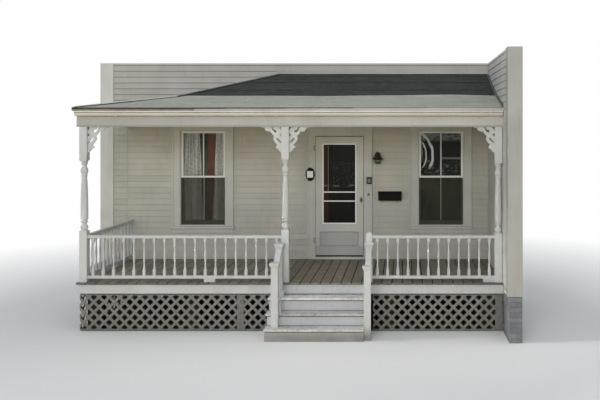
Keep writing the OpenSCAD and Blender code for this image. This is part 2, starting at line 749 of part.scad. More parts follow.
module railing(length) {
    n = round(length / baluster_pitch);
    step = length / n;
    translate([0, -rail_w / 2, rail_low]) cube([length, rail_w, low_rail_h]);
    translate([0, -rail_w / 2, rail_top - top_rail_h]) cube([length, rail_w, top_rail_h]);
    for (i = [0:n - 1]) translate([(i + 0.5) * step, 0, 0]) baluster();
}
module rail_foot(x, length) {
    translate([x, -rail_w / 2, 0]) cube([length, rail_w, rail_low - near]);
}
module front_railings() color(white) place() {
    left_start = left_post_in + post_w;
    left_len = mid_post_x - post_w / 2 - left_start;
    right_start = right_newel_x + newel_w / 2;
    right_len = post_xs[2] - post_w / 2 - right_start;
    translate([left_start, post_y, 0]) {
        railing(left_len);
        rail_foot(left_len * 0.6, 170);
    }
    translate([right_start, post_y, 0]) {
        railing(right_len);
        rail_foot(right_len - 174, 174);
    }
}
module side_railing() color(white) place()
    translate([post_xs[0], post_y + post_w / 2, 0]) rotate([0, 0, 90]) {
        railing(deck_depth - post_w);
        rail_foot(deck_depth / 2, 170);
    }

// Newels and stair handrails
module dome_arch() {
    n = 12;
    polygon([for (i = [0:n]) [newel_w / 2 * cos(180 * i / n), dome_h * pow(sin(180 * i / n), 0.8)]]);
}
module newel(x, y, z0, top, has_head) {
    w = newel_w / 2;
    flare = cap_w / 2 - w - 1;
    translate([x, y, 0]) {
        translate([-w, -w, z0]) cube([newel_w, newel_w, top - 24 - z0]);
        for (i = [1:6]) let (side = w + flare * (1 - cos(15 * i)))
            translate([-side, -side, top - 24 - 8 * (7 - i)]) cube([2 * side, 2 * side, 8]);
        translate([-cap_w / 2, -cap_w / 2, top - 24]) cube([cap_w, cap_w, 24]);
        if (has_head) translate([0, 0, top]) {
            translate([-w, -w, 0]) cube([newel_w, newel_w, head_h]);
            intersection() {
                translate([w, 0, head_h]) rotate([90, 0, -90]) linear_extrude(newel_w) dome_arch();
                translate([0, w, head_h]) rotate([90, 0, 0]) linear_extrude(newel_w) dome_arch();
            }
        }
    }
}
module stair_newels() color(white) place() {
    newel(left_newel_x, left_upper_y, tread_1, upper_newel_top, false);
    newel(right_newel_x, post_y, 0, upper_newel_top, true);
    newel(left_newel_x, newel_y, tread_3, lower_left_top, false);
    newel(right_newel_x, newel_y, -deck_h, lower_right_top, false);
}
module handrail(x, y0, low_top) {
    y1 = newel_y + newel_w / 2;
    z0 = upper_newel_top - 24 - 48 - 10;
    z1 = low_top - 24 - 48 - 10;
    along_x(x - hand_w / 2, x + hand_w / 2)
        polygon([[y0, z0], [y0, z0 - hand_h], [y1, z1 - hand_h], [y1, z1]]);
}
module stair_handrails() color(white) place() {
    handrail(left_newel_x, left_upper_y - newel_w / 2, lower_left_top);
    handrail(right_newel_x, post_y - newel_w / 2, lower_right_top);
}

// Roof. Its surface is given in plan by the hip line, and upright by the two slopes.
eave_y = -deck_depth - eave_front;
hip_line = [[-eave_left, eave_y], [crease_x, -crease_y], [hip_x, 0]];
module front_slope(lo, hi) {
    along_x(-eave_left - 100, side_x) polygon([
        [eave_y, eave_z + lo], [eave_y, eave_z + hi],
        [-crease_y, eave_z + crease_rise + hi], [0, roof_top + hi],
        [0, roof_top + lo], [-crease_y, eave_z + crease_rise + lo]]);
}
module left_slope(lo, hi) {
    along_y(eave_y - 100, 0) polygon([
        [-eave_left, eave_z + lo], [-eave_left, eave_z + hi],
        [crease_x, eave_z + crease_rise + hi], [hip_x, roof_top + hi],
        [hip_x, roof_top + lo], [crease_x, eave_z + crease_rise + lo]]);
}
module plan(points) {
    translate([0, 0, -tall / 2]) linear_extrude(tall * 1.5) polygon(points);
}
module roof_layer(lo, hi) {
    intersection() {
        front_slope(lo, hi);
        plan(concat(hip_line, [[side_x, 0], [side_x, eave_y]]));
    }
    intersection() {
        left_slope(lo, hi);
        plan(concat(hip_line, [[-eave_left, 0]]));
    }
}
module lower_roof() color(sage) place() {
    intersection() {
        front_slope(-roof_t, 0);
        plan([hip_line[0], hip_line[1], [side_x, -crease_y], [side_x, eave_y]]);
    }
    intersection() {
        left_slope(-roof_t, 0);
        plan([hip_line[0], hip_line[1], [crease_x, 0], [-eave_left, 0]]);
    }
}
module upper_roof() color(dark_green) place() {
    intersection() {
        front_slope(-roof_t, 0);
        plan([hip_line[1], hip_line[2], [side_x, 0], [side_x, -crease_y]]);
    }
    intersection() {
        left_slope(-roof_t, 0);
        plan([hip_line[1], hip_line[2], [crease_x, 0]]);
    }
}
module hip_strip(width) {
    for (i = [0:1]) {
        a = hip_line[i];
        d = hip_line[i + 1] - a;
        translate([a[0], a[1], -tall / 2]) rotate([0, 0, atan2(d[1], d[0])])
            translate([i == 0 ? 0 : -width / 8, -width / 2, 0]) cube([norm(d) + width / 8, width, tall * 1.5]);
    }
}
module hip_cap() color(dark_green) place()
    intersection() {
        roof_layer(0, hip_cap_t);
        hip_strip(hip_cap_w);
    }
module roof_frame() color("burlywood") place() {
    inside = post_w;
    lo = -roof_t - rafter_h;
    difference() {
        intersection() {
            roof_layer(lo, -roof_t);
            block([inside, -deck_depth + post_w, 0], [side_x, 0, tall]);
            union() {
                for (x = [side_x - rafter_t:-rafter_pitch:inside])
                    intersection() {
                        block([x, -deck_depth, 0], [x + rafter_t, 0, tall]);
                        plan(concat(hip_line, [[side_x, 0], [side_x, eave_y]]));
                    }
                for (y = [-rafter_pitch:-rafter_pitch:-deck_depth + post_w])
                    intersection() {
                        block([inside, y, 0], [hip_x, y + rafter_t, tall]);
                        plan(concat(hip_line, [[-eave_left, 0]]));
                    }
                hip_strip(rafter_t);
                block([inside, -rafter_t, 0], [side_x, 0, tall]);
            }
        }
    }
}
module porch_beams() color(white) place() {
    intersection() {
        roof_layer(-tall, -roof_t);
        union() {
            block([0, -deck_depth, beam_z], [side_x, -deck_depth + post_w, tall]);
            block([0, -deck_depth, beam_z], [post_w, 0, tall]);
        }
    }
}
module porch_ceiling() color(white) place()
    block([post_w, -deck_depth + post_w, ceiling_z], [side_x, 0, ceiling_z + ceiling_t]);
module eave_trim() color(white) place() {
    z0 = eave_z - eave_trim_h;
    block([-eave_left - eave_trim_t, eave_y - eave_trim_t, z0], [side_x - 10, eave_y, eave_z]);
    block([-eave_left - eave_trim_t, eave_y - eave_trim_t, z0], [-eave_left, 0, eave_z]);
}
module gutter() color(white) place() {
    y = -deck_depth;
    top = gutter_z + gutter_h;
    profile = concat([[0, gutter_h], [0, 0], [-gutter_d * 0.5, 0]],
        [for (i = [1:6]) [-gutter_d * (0.5 + 0.34 * sin(15 * i)), gutter_h * (0.5 - 0.5 * cos(15 * i))]],
        [[-gutter_d * 0.84, gutter_h * 0.62], [-gutter_d, gutter_h * 0.74], [-gutter_d, gutter_h]]);
    end = side_x - 20;
    translate([0, y, gutter_z]) difference() {
        along_x(0, end) polygon(profile);
        along_x(gutter_t, end - gutter_t) polygon([
            [-gutter_t, gutter_h + 1], [-gutter_t, gutter_t], [-gutter_d * 0.5, gutter_t],
            [-gutter_d * 0.78, gutter_h * 0.5], [-gutter_d + gutter_t, gutter_h * 0.80],
            [-gutter_d + gutter_t, gutter_h + 1]]);
    }
    for (x = [clip_pitch:clip_pitch:end - 60])
        block([x - 12, y - gutter_d * 0.46, gutter_z - 10], [x + 12, y, gutter_z]);
}
module wall_flashing() color(white) place() {
    block([hip_x - 40, -20, roof_top + hip_cap_t + near], [side_x, 0, roof_top + 62]);
    intersection() {
        roof_layer(near, 60);
        block([side_x - 4, eave_y, 0], [side_x, -21, tall]);
    }
}

foundation_wall();
back_wall_left();
back_wall_right();
wall_over_door();
side_wall();
corner_boards();
window_casings();
upper_sashes();
lower_sashes();
window_glass();
door_casing();
door_sill();
door_hinges();
storm_door();
storm_door_glass();
door_handle();
plaque();
wall_lantern();
lantern_globe();
mailbox();
keypad_and_bell();
deck_piers();
deck_frame();
deck_boards();
deck_fascia();
lattice_front();
lattice_side();
step_stringers();
step_risers();
step_treads();
porch_posts();
post_brackets();
front_railings();
side_railing();
stair_newels();
stair_handrails();
porch_beams();
gutter();
eave_trim();
porch_ceiling();
roof_frame();
lower_roof();
upper_roof();
hip_cap();
wall_flashing();
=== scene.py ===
# %% [markdown]
# # A wooden front porch
# The CAD model holds every post, board and wall of this porch in its true place. This lesson gives
# it what a carpenter, a roofer and a painter add: clapboards, mouldings, window bars, roofing
# sheets, nails, and paint that has been out in the weather for years.

# %% Load the CAD model
import math
import random

import bpy
import bmesh
from mathutils import Matrix, Vector


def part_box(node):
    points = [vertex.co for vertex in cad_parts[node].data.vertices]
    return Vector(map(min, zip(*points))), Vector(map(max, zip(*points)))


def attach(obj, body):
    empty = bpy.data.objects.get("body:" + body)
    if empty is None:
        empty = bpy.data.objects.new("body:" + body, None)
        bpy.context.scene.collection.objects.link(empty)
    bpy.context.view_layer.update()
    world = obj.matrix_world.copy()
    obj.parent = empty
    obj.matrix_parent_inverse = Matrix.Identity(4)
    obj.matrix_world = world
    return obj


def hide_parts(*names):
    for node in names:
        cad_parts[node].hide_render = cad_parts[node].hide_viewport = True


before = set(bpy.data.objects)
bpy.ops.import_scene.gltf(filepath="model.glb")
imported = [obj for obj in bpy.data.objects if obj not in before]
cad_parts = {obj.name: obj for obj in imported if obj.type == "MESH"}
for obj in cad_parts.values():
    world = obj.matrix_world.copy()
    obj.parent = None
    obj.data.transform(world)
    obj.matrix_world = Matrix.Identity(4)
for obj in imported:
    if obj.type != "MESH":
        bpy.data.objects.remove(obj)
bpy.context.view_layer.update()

dice = random.Random(12)

# %% [markdown]
# A carpenter measures from the deck's left end, the house wall and the deck's top. The same three
# faces are the origin here, in millimetres, so that a number in this file is one that could be
# marked on the wood.

# %% The carpenter's origin
deck_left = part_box("deck_boards")[0][0]
wall_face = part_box("back_wall_left")[0][1]
deck_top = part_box("deck_boards")[1][2]


def at(x, y, z):
    """A point in metres from millimetres right of the deck's end, behind the wall and up."""
    return Vector((deck_left + x / 1000, wall_face + y / 1000, deck_top + z / 1000))


def marks(point):
    """A point in metres as three marks in millimetres from the carpenter's origin."""
    return (Vector(point) - at(0, 0, 0)) * 1000


def span(node):
    """The marks of a node's two corners."""
    return [marks(corner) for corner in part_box(node)]


print("deck's left end, wall and top", [round(part, 4) for part in at(0, 0, 0)])

# %% [markdown]
# The view is level and from straight in front, so every upright stays parallel. A rise fitting lens
# does that in Blender too: the camera looks straight at the wall, and its shift slides the frame,
# which keeps the posts from leaning.

# %% Camera
lens = bpy.data.cameras.new("front_view")
lens.lens = 45.3
lens.shift_x = -0.175
lens.shift_y = -0.118
lens.clip_end = 200
viewer = bpy.data.objects.new("front_view", lens)
viewer.location = (1.888, -12.240, 3.065)
viewer.rotation_euler = (math.radians(90), 0, 0)
bpy.context.scene.collection.objects.link(viewer)
bpy.context.scene.camera = viewer
print("camera at", tuple(round(part, 3) for part in viewer.location))

# %% [markdown]
# Materials and the sky are drawn as node graphs. One short function adds a node, sets its options,
# and fills its sockets with numbers or with links, which keeps each recipe readable as a list of
# steps. The others name the steps that come back in every recipe.

# %% How a node is placed


def feed(tree, node, **sockets):
    """Fills sockets, given by name or as i and a number, with links or with values."""
    for name, value in sockets.items():
        place = int(name[1:]) if name[0] == "i" and name[1:].isdigit() else name.replace("_", " ")
        socket = node.inputs[place]
        if isinstance(value, bpy.types.NodeSocket):
            tree.links.new(value, socket)
        else:
            socket.default_value = (*value, 1) if socket.type == "RGBA" else value
    return node


def put(tree, kind, options=None, **sockets):
    """Adds a node, sets its options and fills its sockets."""
    made = tree.nodes.new(kind)
    for name, value in (options or {}).items():
        setattr(made, name, value)
    return feed(tree, made, **sockets)


def noise(tree, place, scale, detail=3.0, rough=0.55):
    """Soft clouds of values around one half."""
    return put(tree, "ShaderNodeTexNoise", Vector=place, Scale=scale, Detail=detail,
               Roughness=rough).outputs["Fac"]


def between(tree, value, low, high, to_low=0.0, to_high=1.0):
    """Stretches the part of a value between low and high over a new range, and clamps it."""
    return put(tree, "ShaderNodeMapRange", {"clamp": True}, Value=value, i1=low, i2=high,
               i3=to_low, i4=to_high).outputs[0]


def reckon(tree, what, first, second=0.0):
    """One step of arithmetic."""
    return put(tree, "ShaderNodeMath", {"operation": what}, i0=first, i1=second).outputs[0]


def times(tree, whole, *masks):
    """Masks multiplied, so that the result is strong only where all of them are."""
    for mask in masks:
        whole = reckon(tree, "MULTIPLY", whole, mask)
    return whole


def most(tree, whole, *masks):
    """The strongest of several masks at each place."""
    for mask in masks:
        whole = reckon(tree, "MAXIMUM", whole, mask)
    return whole


def off(tree, value, middle):
    """How far a value is from a middle, on either side."""
    return reckon(tree, "ABSOLUTE", reckon(tree, "SUBTRACT", value, middle))


def tint(tree, mask, below, above):
    """Mixes two colours by a mask."""
    return put(tree, "ShaderNodeMix", {"data_type": "RGBA"}, i0=mask, i6=below, i7=above).outputs[2]


def on_vector(tree, what, first, **sockets):
    """One step of arithmetic on a colour or a place."""
    return put(tree, "ShaderNodeVectorMath", {"operation": what}, i0=first, **sockets).outputs


def toned(tree, colour, level):
    """A colour made darker or lighter."""
    return on_vector(tree, "SCALE", colour, Scale=level)[0]


def stretched(tree, place, scale):
    """Coordinates that run faster along some axes than along others."""
    return put(tree, "ShaderNodeMapping", Vector=place, Scale=scale).outputs[0]


def axes(tree, place):
    """The X, Y and Z of a place, as three sockets."""
    return put(tree, "ShaderNodeSeparateXYZ", Vector=place).outputs


# %% [markdown]
# The light is an autumn morning's. The sun comes past the house at the left as a narrow beam, so it
# catches the newels and the posts' left edges but stays out of the porch, and an even sky in front
# lights the rest, from high enough that no pane mirrors the lamp. The sky's own light is strongest
# from above and in front, which whitens the tops of rails and treads. The backdrop is white only
# for rays that show it, and adds no light of its own.

# %% Lamps and backdrop


def lamp(name, place, target, width, power, colour, spread=180):
    """Adds a square area lamp that looks at a target, with a spread in degrees."""
    data = bpy.data.lights.new(name, "AREA")
    data.size = width
    data.spread = math.radians(spread)
    data.energy = power
    data.color = colour
    holder = bpy.data.objects.new(name, data)
    holder.location = place
    aim = Vector(target) - Vector(place)
    holder.rotation_euler = aim.to_track_quat("-Z", "Y").to_euler()
    bpy.context.scene.collection.objects.link(holder)


def showing(tree):
    """1 for the rays that show a thing: to the camera, in a reflection or through glass."""
    path = put(tree, "ShaderNodeLightPath").outputs
    return most(tree, path["Is Camera Ray"], path["Is Glossy Ray"], path["Is Transmission Ray"])


lamp("morning", (-13, -3.6, 4.6), (0.5, -2.1, 0.9), 2.4, 16, (1.0, 0.97, 0.92), 14)
lamp("open_sky", (-1, -14, 5.4), (0, 0, 1.6), 4, 560, (1.0, 0.985, 0.96))

sky = bpy.data.worlds.new("pale_sky")
sky.use_nodes = True
bpy.context.scene.world = sky
tree = sky.node_tree
tree.nodes.clear()
outward = put(tree, "ShaderNodeTexCoord").outputs["Generated"]
toward = on_vector(tree, "DOT_PRODUCT", outward, i1=(0, -0.42, 0.62))["Value"]
ambient = put(tree, "ShaderNodeBackground", Color=(0.90, 0.95, 1.0),
              Strength=between(tree, toward, -0.2, 0.75, 0.24, 0.90))
white = put(tree, "ShaderNodeBackground", Color=(1, 1, 1), Strength=1.0)
chosen = put(tree, "ShaderNodeMixShader", Fac=showing(tree), i1=ambient.outputs[0],
             i2=white.outputs[0])
put(tree, "ShaderNodeOutputWorld", Surface=chosen.outputs[0])
bpy.context.scene.view_settings.view_transform = "Standard"
print("lamps", [light.name for light in bpy.data.lights])

# %% [markdown]
# An effect that several finishes share is a node group, built once with named sockets. Old painted
# wood needs three: brush strokes and lifted grain, dirt that gathers in patches and runs down in
# streaks, and paint rubbed off the edges.

# %% Shared effects: brushed grain, grime and worn edges


def effect(name, inputs, outputs):
    """Starts a node group with named inputs and outputs."""
    tree = bpy.data.node_groups.new(name, "ShaderNodeTree")
    for label, kind, value in inputs:
        socket = tree.interface.new_socket(label, in_out="INPUT", socket_type=kind)
        if value is not None:
            socket.default_value = value
    for label, kind in outputs:
        tree.interface.new_socket(label, in_out="OUTPUT", socket_type=kind)
    return tree, tree.nodes.new("NodeGroupInput").outputs, tree.nodes.new("NodeGroupOutput")


number, vector = "NodeSocketFloat", "NodeSocketVector"

grain_tree, given, result = effect(
    "brushed_grain", [("Position", vector, None), ("Stretch", vector, (60, 60, 4))],
    [("Height", number), ("Lines", number)])
along = on_vector(grain_tree, "MULTIPLY", given["Position"], i1=given["Stretch"])[0]
fibres = noise(grain_tree, along, 4.0, 5.0, 0.65)
ripple = noise(grain_tree, along, 0.7, 2.0)
feed(grain_tree, result, Height=reckon(grain_tree, "ADD", fibres, ripple),
     Lines=between(grain_tree, fibres, 0.56, 0.7))

grime_tree, given, result = effect(
    "grime", [("Position", vector, None), ("Patch Scale", number, 2.0), ("Amount", number, 0.5)],
    [("Mask", number), ("Patches", number)])
patches = noise(grime_tree, given["Position"], given["Patch Scale"], 6.0, 0.62)
runs = noise(grime_tree, stretched(grime_tree, given["Position"], (14, 14, 0.9)), 2.6, 4.0, 0.6)
dirt = times(grime_tree, between(grime_tree, patches, 0.35, 0.72),
             between(grime_tree, runs, 0.38, 0.7), given["Amount"])
feed(grime_tree, result, Mask=dirt, Patches=patches)

edge_tree, given, result = effect(
    "worn_edge", [("Position", vector, None), ("Radius", number, 0.004), ("Amount", number, 0.5)],
    [("Mask", number), ("Normal", vector)])
soft = put(edge_tree, "ShaderNodeBevel", {"samples": 4}, Radius=given["Radius"]).outputs[0]
flat = put(edge_tree, "ShaderNodeNewGeometry").outputs["Normal"]
facing = on_vector(edge_tree, "DOT_PRODUCT", soft, i1=flat)["Value"]
broken = between(edge_tree, noise(edge_tree, given["Position"], 38, 4.0, 0.7), 0.42, 0.58)
rubbed = times(edge_tree, between(edge_tree, facing, 0.97, 0.80), broken, given["Amount"])
feed(edge_tree, result, Mask=rubbed, Normal=soft)

print("groups", [group.name for group in bpy.data.node_groups])

# %% [markdown]
# Every finish starts the same way: a Principled shader, the piece's own coordinates, and the tone
# that each board was given when it was cut. The recipes then differ only in what they add.

# %% Where a finish starts


def finish(name, rough=0.6, metal=0.0, **constants):
    """Starts a material and returns its tree, its shader and the coordinates on the piece."""
    made = bpy.data.materials.new(name)
    made.use_nodes = True
    tree = made.node_tree
    tree.nodes.clear()
    shader = put(tree, "ShaderNodeBsdfPrincipled", Roughness=rough, Metallic=metal, **constants)
    put(tree, "ShaderNodeOutputMaterial", Surface=shader.outputs[0])
    return made, tree, shader, put(tree, "ShaderNodeTexCoord").outputs["Object"]


def group_in(tree, group, **sockets):
    """Places a shared effect and returns what it puts out."""
    return put(tree, "ShaderNodeGroup", {"node_tree": group}, **sockets).outputs


def tone_of(tree, place, pitch=None):
    """A shade from 0 to 1: the one a board was cut with, or one for each pitch along the deck."""
    if pitch is None:
        return put(tree, "ShaderNodeAttribute", {"attribute_name": "tone"}).outputs["Fac"]
    across = reckon(tree, "SUBTRACT", axes(tree, place)["X"], deck_left)
    row = reckon(tree, "FLOOR", reckon(tree, "DIVIDE", across, pitch))
    return put(tree, "ShaderNodeTexWhiteNoise", {"noise_dimensions": "1D"}, W=row).outputs["Value"]


def bump(tree, shader, height, depth, **normal):
    """Raises the surface by a height, over a softened Normal where one is given."""
    made = put(tree, "ShaderNodeBump", Height=height, Distance=depth, **normal)
    feed(tree, shader, Normal=made.outputs[0])


# %% [markdown]
# The white paint is chalky and a little warm. It is brushed along each board, so the strokes run
# along x on clapboards and beams and along z on posts and casings. It darkens with grime in patches
# and runs, shows gray primer where the edges are rubbed, and darkens in broken patches near the
# floor.
# Some boards are painted darker across part of their length, a painted shade. On siding, the last
# few millimetres under each lap are painted dark, a painted shadow of the lap, most of it above the
# roof, where the siding is painted a bit darker and cooler too, a painted shade of the eave above.

# %% White paints
exposure, siding_low, side_low = 104, -170, span("side_wall")[0].z
eave_shade_from, eave_shade_full = 2560, 2700
low_dark_top, low_dark_full = 0.22, 0.06
dust, gray_line, primer, low_dark_tone = (
    (0.30, 0.28, 0.24), (0.33, 0.32, 0.29), (0.34, 0.33, 0.31), (0.15, 0.145, 0.135))
eave_shade_tone, lap_shadow_tone, shade_across_tone = (0.22, 0.225, 0.24), (0.08, 0.078, 0.075), (0.10, 0.10, 0.098)


def white_paint(name, colour, stretch, grime, wear, shade, rough=0.55, laps=None, shade_across=None):
    """Paint brushed along a board. laps is where the lowest clapboard starts, and adds painted
    shadow under each lap and painted shade above the roof. fade is a range in x painted darker, as
    shade.
    """
    made, tree, shader, place = finish(name, rough)
    grain = group_in(tree, grain_tree, Position=place, Stretch=stretch)
    dirt = group_in(tree, grime_tree, Position=place, Patch_Scale=1.7, Amount=grime)
    edge = group_in(tree, edge_tree, Position=place, Radius=0.004, Amount=wear)
    where = axes(tree, place)
    tone = between(tree, tone_of(tree, place), 0.0, 1.0, -shade, shade)
    level = reckon(tree, "ADD", tone, between(tree, dirt["Patches"], 0.3, 0.7, 1.04, 0.94))
    coat = tint(tree, dirt["Mask"], toned(tree, colour, level), dust)
    coat = tint(tree, times(tree, grain["Lines"], 0.10), coat, gray_line)
    coat = tint(tree, edge["Mask"], coat, primer)
    # Darker in broken patches towards the floor, below about 0.22 m.
    low_dark_patches = times(tree, between(tree, where["Z"], low_dark_top, low_dark_full, 0.0, 0.85),
                   between(tree, dirt["Patches"], 0.25, 0.6, 0.55, 1.0))
    coat = tint(tree, low_dark_patches, coat, low_dark_tone)
    # Painted shadow under each lap, strongest above the roof, and painted shade that makes the
    # siding above the roof darker and cooler.
    if laps is not None:
        rows = reckon(tree, "DIVIDE", reckon(tree, "SUBTRACT", where["Z"], laps), exposure / 1000)
        under = between(tree, reckon(tree, "FRACT", rows), 0.905, 0.95)
        eave_shade = between(tree, where["Z"], at(0, 0, eave_shade_from).z, at(0, 0, eave_shade_full).z,
                      0.10, 0.75)
        coat = tint(tree, times(tree, eave_shade, 0.16), coat, eave_shade_tone)
        coat = tint(tree, times(tree, under, eave_shade), coat, lap_shadow_tone)
    # Painted shade: the paint darkens over a range in x.
    if shade_across is not None:
        coat = tint(tree, between(tree, where["X"], *shade_across), coat, shade_across_tone)
    feed(tree, shader, Base_Color=coat,
         Roughness=between(tree, dirt["Patches"], 0.3, 0.7, rough - 0.1, rough + 0.15))
    bump(tree, shader, grain["Height"], 0.0006, Normal=edge["Normal"])
    return made


along_x, along_y, along_z = (3, 60, 60), (60, 3, 60), (60, 60, 3)
house_white = (0.49, 0.472, 0.425)
wall_paint = white_paint("wall_paint", house_white, along_x, 0.35, 0.35, 0.05)
# Painted shadow and shade: both sidings get dark lines under their laps and a darker tone above the
# roof.
siding_paint = white_paint("siding_paint", house_white, along_x, 0.35, 0.35, 0.05,
                           laps=at(0, 0, siding_low).z)
# Painted light: the side wall's siding is lighter than the house wall's, for the sun that falls on
# it.
side_paint = white_paint("side_paint", (0.57, 0.57, 0.555), along_y, 0.35, 0.35, 0.05,
                         laps=side_low / 1000 + deck_top)
trim_paint = white_paint("trim_paint", (0.56, 0.555, 0.53), along_z, 0.30, 0.45, 0.04)
# Painted shade: the beam and its trim are darker than the other trim, and darker still to the left.
beam_paint = white_paint("beam_paint", (0.49, 0.48, 0.455), along_x, 0.30, 0.45, 0.04,
                         shade_across=(3.0, -1.5, 0.0, 0.26))
door_paint = white_paint("door_paint", (0.55, 0.545, 0.515), along_z, 0.15, 0.20, 0.02, 0.45)
gutter_paint = white_paint("gutter_paint", (0.64, 0.62, 0.58), along_x, 0.35, 0.25, 0.03, 0.4)
# Painted light: the fascia and front railings are a cooler white than the trim, for the sky's
# light.
front_paint = white_paint("front_paint", (0.545, 0.56, 0.575), along_x, 0.30, 0.45, 0.04)
# Painted light and shade: the corner boards are lighter than the other trim, and darker to the
# right.
corner_paint = white_paint("corner_paint", (0.66, 0.655, 0.63), along_z, 0.30, 0.30, 0.04,
                           shade_across=(-2.0, 2.5, 0.0, 0.46))
# Painted light: the steps, posts, newels and rails are cooler whites too, for the sky's light.
step_paint = white_paint("step_paint", (0.50, 0.515, 0.53), along_x, 0.30, 0.45, 0.04)
post_paint = white_paint("post_paint", (0.565, 0.58, 0.59), along_z, 0.30, 0.45, 0.04)
# The lower sashes are painted a dark olive, far darker than the upper ones.
dark_sash = white_paint("dark_sash", (0.15, 0.155, 0.12), along_z, 0.10, 0.15, 0.02)
hinge_paint = white_paint("hinge_paint", (0.30, 0.29, 0.265), along_z, 0.30, 0.60, 0.04)
# Painted light: the ceiling is lighter than any other white, for the light thrown up under the
# roof.
ceiling_paint = white_paint("ceiling_paint", (0.92, 0.89, 0.80), along_x, 0.20, 0.20, 0.04)
lattice_paint = white_paint("lattice_paint", (0.185, 0.187, 0.172), along_x, 0.75, 0.30, 0.12, 0.7)
sash_paint = white_paint("sash_paint", (0.84, 0.83, 0.78), along_z, 0.10, 0.15, 0.02, 0.4)
print("finishes", len(bpy.data.materials))

# %% [markdown]
# The deck is painted gray-brown and walked on. Its boards run from the wall to the front edge, each
# weathered a little differently, and their front ends are painted darker except over the steps, a
# painted shadow of the railing. The treads are light gray, scuffed to white in the middle and
# chipped to dark wood at their edges.

# %% Floor paints
deck_long, board_gap, board_count = 6475, 13, 42
board_step = (deck_long + board_gap) / board_count
steps_middle, rail_shadow_from, rail_shadow_full = 3662, -2090, -2112
floor_dirt, floor_line, rail_shadow_tone = (0.10, 0.085, 0.07), (0.12, 0.10, 0.085), (0.07, 0.07, 0.066)


def floor_paint(name, colour, worn, chip, stretch, scuff_low, scuff_high, pitch=None):
    """Paint that is walked on. With a pitch it lies on the deck's boards, darker at their front
    ends as a painted shadow of the railing.
    """
    made, tree, shader, place = finish(name, 0.62)
    grain = group_in(tree, grain_tree, Position=place, Stretch=stretch)
    dirt = group_in(tree, grime_tree, Position=place, Patch_Scale=3.0, Amount=0.75)
    edge = group_in(tree, edge_tree, Position=place, Radius=0.007, Amount=0.95)
    scuffs = between(tree, noise(tree, place, 7.0, 8.0, 0.68), scuff_low, scuff_high)
    level = between(tree, tone_of(tree, place, pitch), 0.0, 1.0, 0.82, 1.16)
    coat = toned(tree, tint(tree, scuffs, colour, worn), level)
    coat = tint(tree, dirt["Mask"], coat, floor_dirt)
    coat = tint(tree, times(tree, grain["Lines"], 0.45), coat, floor_line)
    flakes = between(tree, noise(tree, place, 30.0, 5.0, 0.75), 0.64, 0.68)
    coat = tint(tree, edge["Mask"], tint(tree, flakes, coat, chip), chip)
    if pitch is not None:
        where = axes(tree, place)
        # Painted shadow of the railing: the boards' front ends darken, except over the steps.
        beside = off(tree, where["X"], at(steps_middle, 0, 0).x)
        rail_shadow_mask = times(tree, between(tree, beside, 0.70, 0.76, 0.0, 0.72),
                     between(tree, where["Y"], at(0, rail_shadow_from, 0).y, at(0, rail_shadow_full, 0).y))
        coat = tint(tree, rail_shadow_mask, coat, rail_shadow_tone)
    feed(tree, shader, Base_Color=coat)
    depth = reckon(tree, "SUBTRACT", grain["Height"], times(tree, flakes, 1.5))
    bump(tree, shader, depth, 0.001, Normal=edge["Normal"])
    return made


deck_paint = floor_paint("deck_paint", (0.21, 0.19, 0.15), (0.34, 0.315, 0.255),
                         (0.07, 0.06, 0.045), along_y, 0.48, 0.75, board_step / 1000)
tread_paint = floor_paint("tread_paint", (0.50, 0.50, 0.495), (0.66, 0.655, 0.64),
                          (0.12, 0.105, 0.09), along_x, 0.40, 0.62)
print("deck boards", board_count, "every", round(board_step, 1), "mm")

# %% [markdown]
# Rolled roofing is felt with a coat of mineral granules. At a distance the granules are only a soft
# sparkle of light and dark, with wide stains where water lies.

# %% Roofing


def roofing(name, colour, light, dark):
    """Felt of one colour, bleached in places and stained dark in others."""
    made, tree, shader, place = finish(name, 0.9, Specular_IOR_Level=0.15)
    specks = put(tree, "ShaderNodeTexVoronoi", Vector=place, Scale=420.0).outputs["Color"]
    fleck = put(tree, "ShaderNodeSeparateColor", Color=specks).outputs[0]
    stain = noise(tree, stretched(tree, place, (1.0, 2.2, 1.0)), 1.6, 7.0, 0.6)
    bleach = between(tree, noise(tree, place, 9.0, 5.0, 0.6), 0.45, 0.75, 0.0, 0.55)
    body = tint(tree, bleach, tint(tree, between(tree, stain, 0.35, 0.68), colour, dark), light)
    feed(tree, shader, Base_Color=toned(tree, body, between(tree, fleck, 0.0, 1.0, 0.72, 1.28)))
    bump(tree, shader, fleck, 0.0012)
    return made


sage_roofing = roofing("sage_roofing", (0.44, 0.443, 0.385), (0.53, 0.53, 0.465),
                       (0.365, 0.37, 0.315))
dark_roofing = roofing("dark_roofing", (0.047, 0.053, 0.049), (0.078, 0.086, 0.079),
                       (0.030, 0.034, 0.032))
seam_paint = roofing("seam_paint", (0.50, 0.50, 0.46), (0.58, 0.58, 0.54), (0.40, 0.40, 0.36))
print("finishes", len(bpy.data.materials))

# %% [markdown]
# The rest are small finishes: painted masonry, bare framing timber, cast and sheet metal, black
# plastic, and the two kinds of glass. Each still varies over its surface.

# %% Masonry, timber and metal


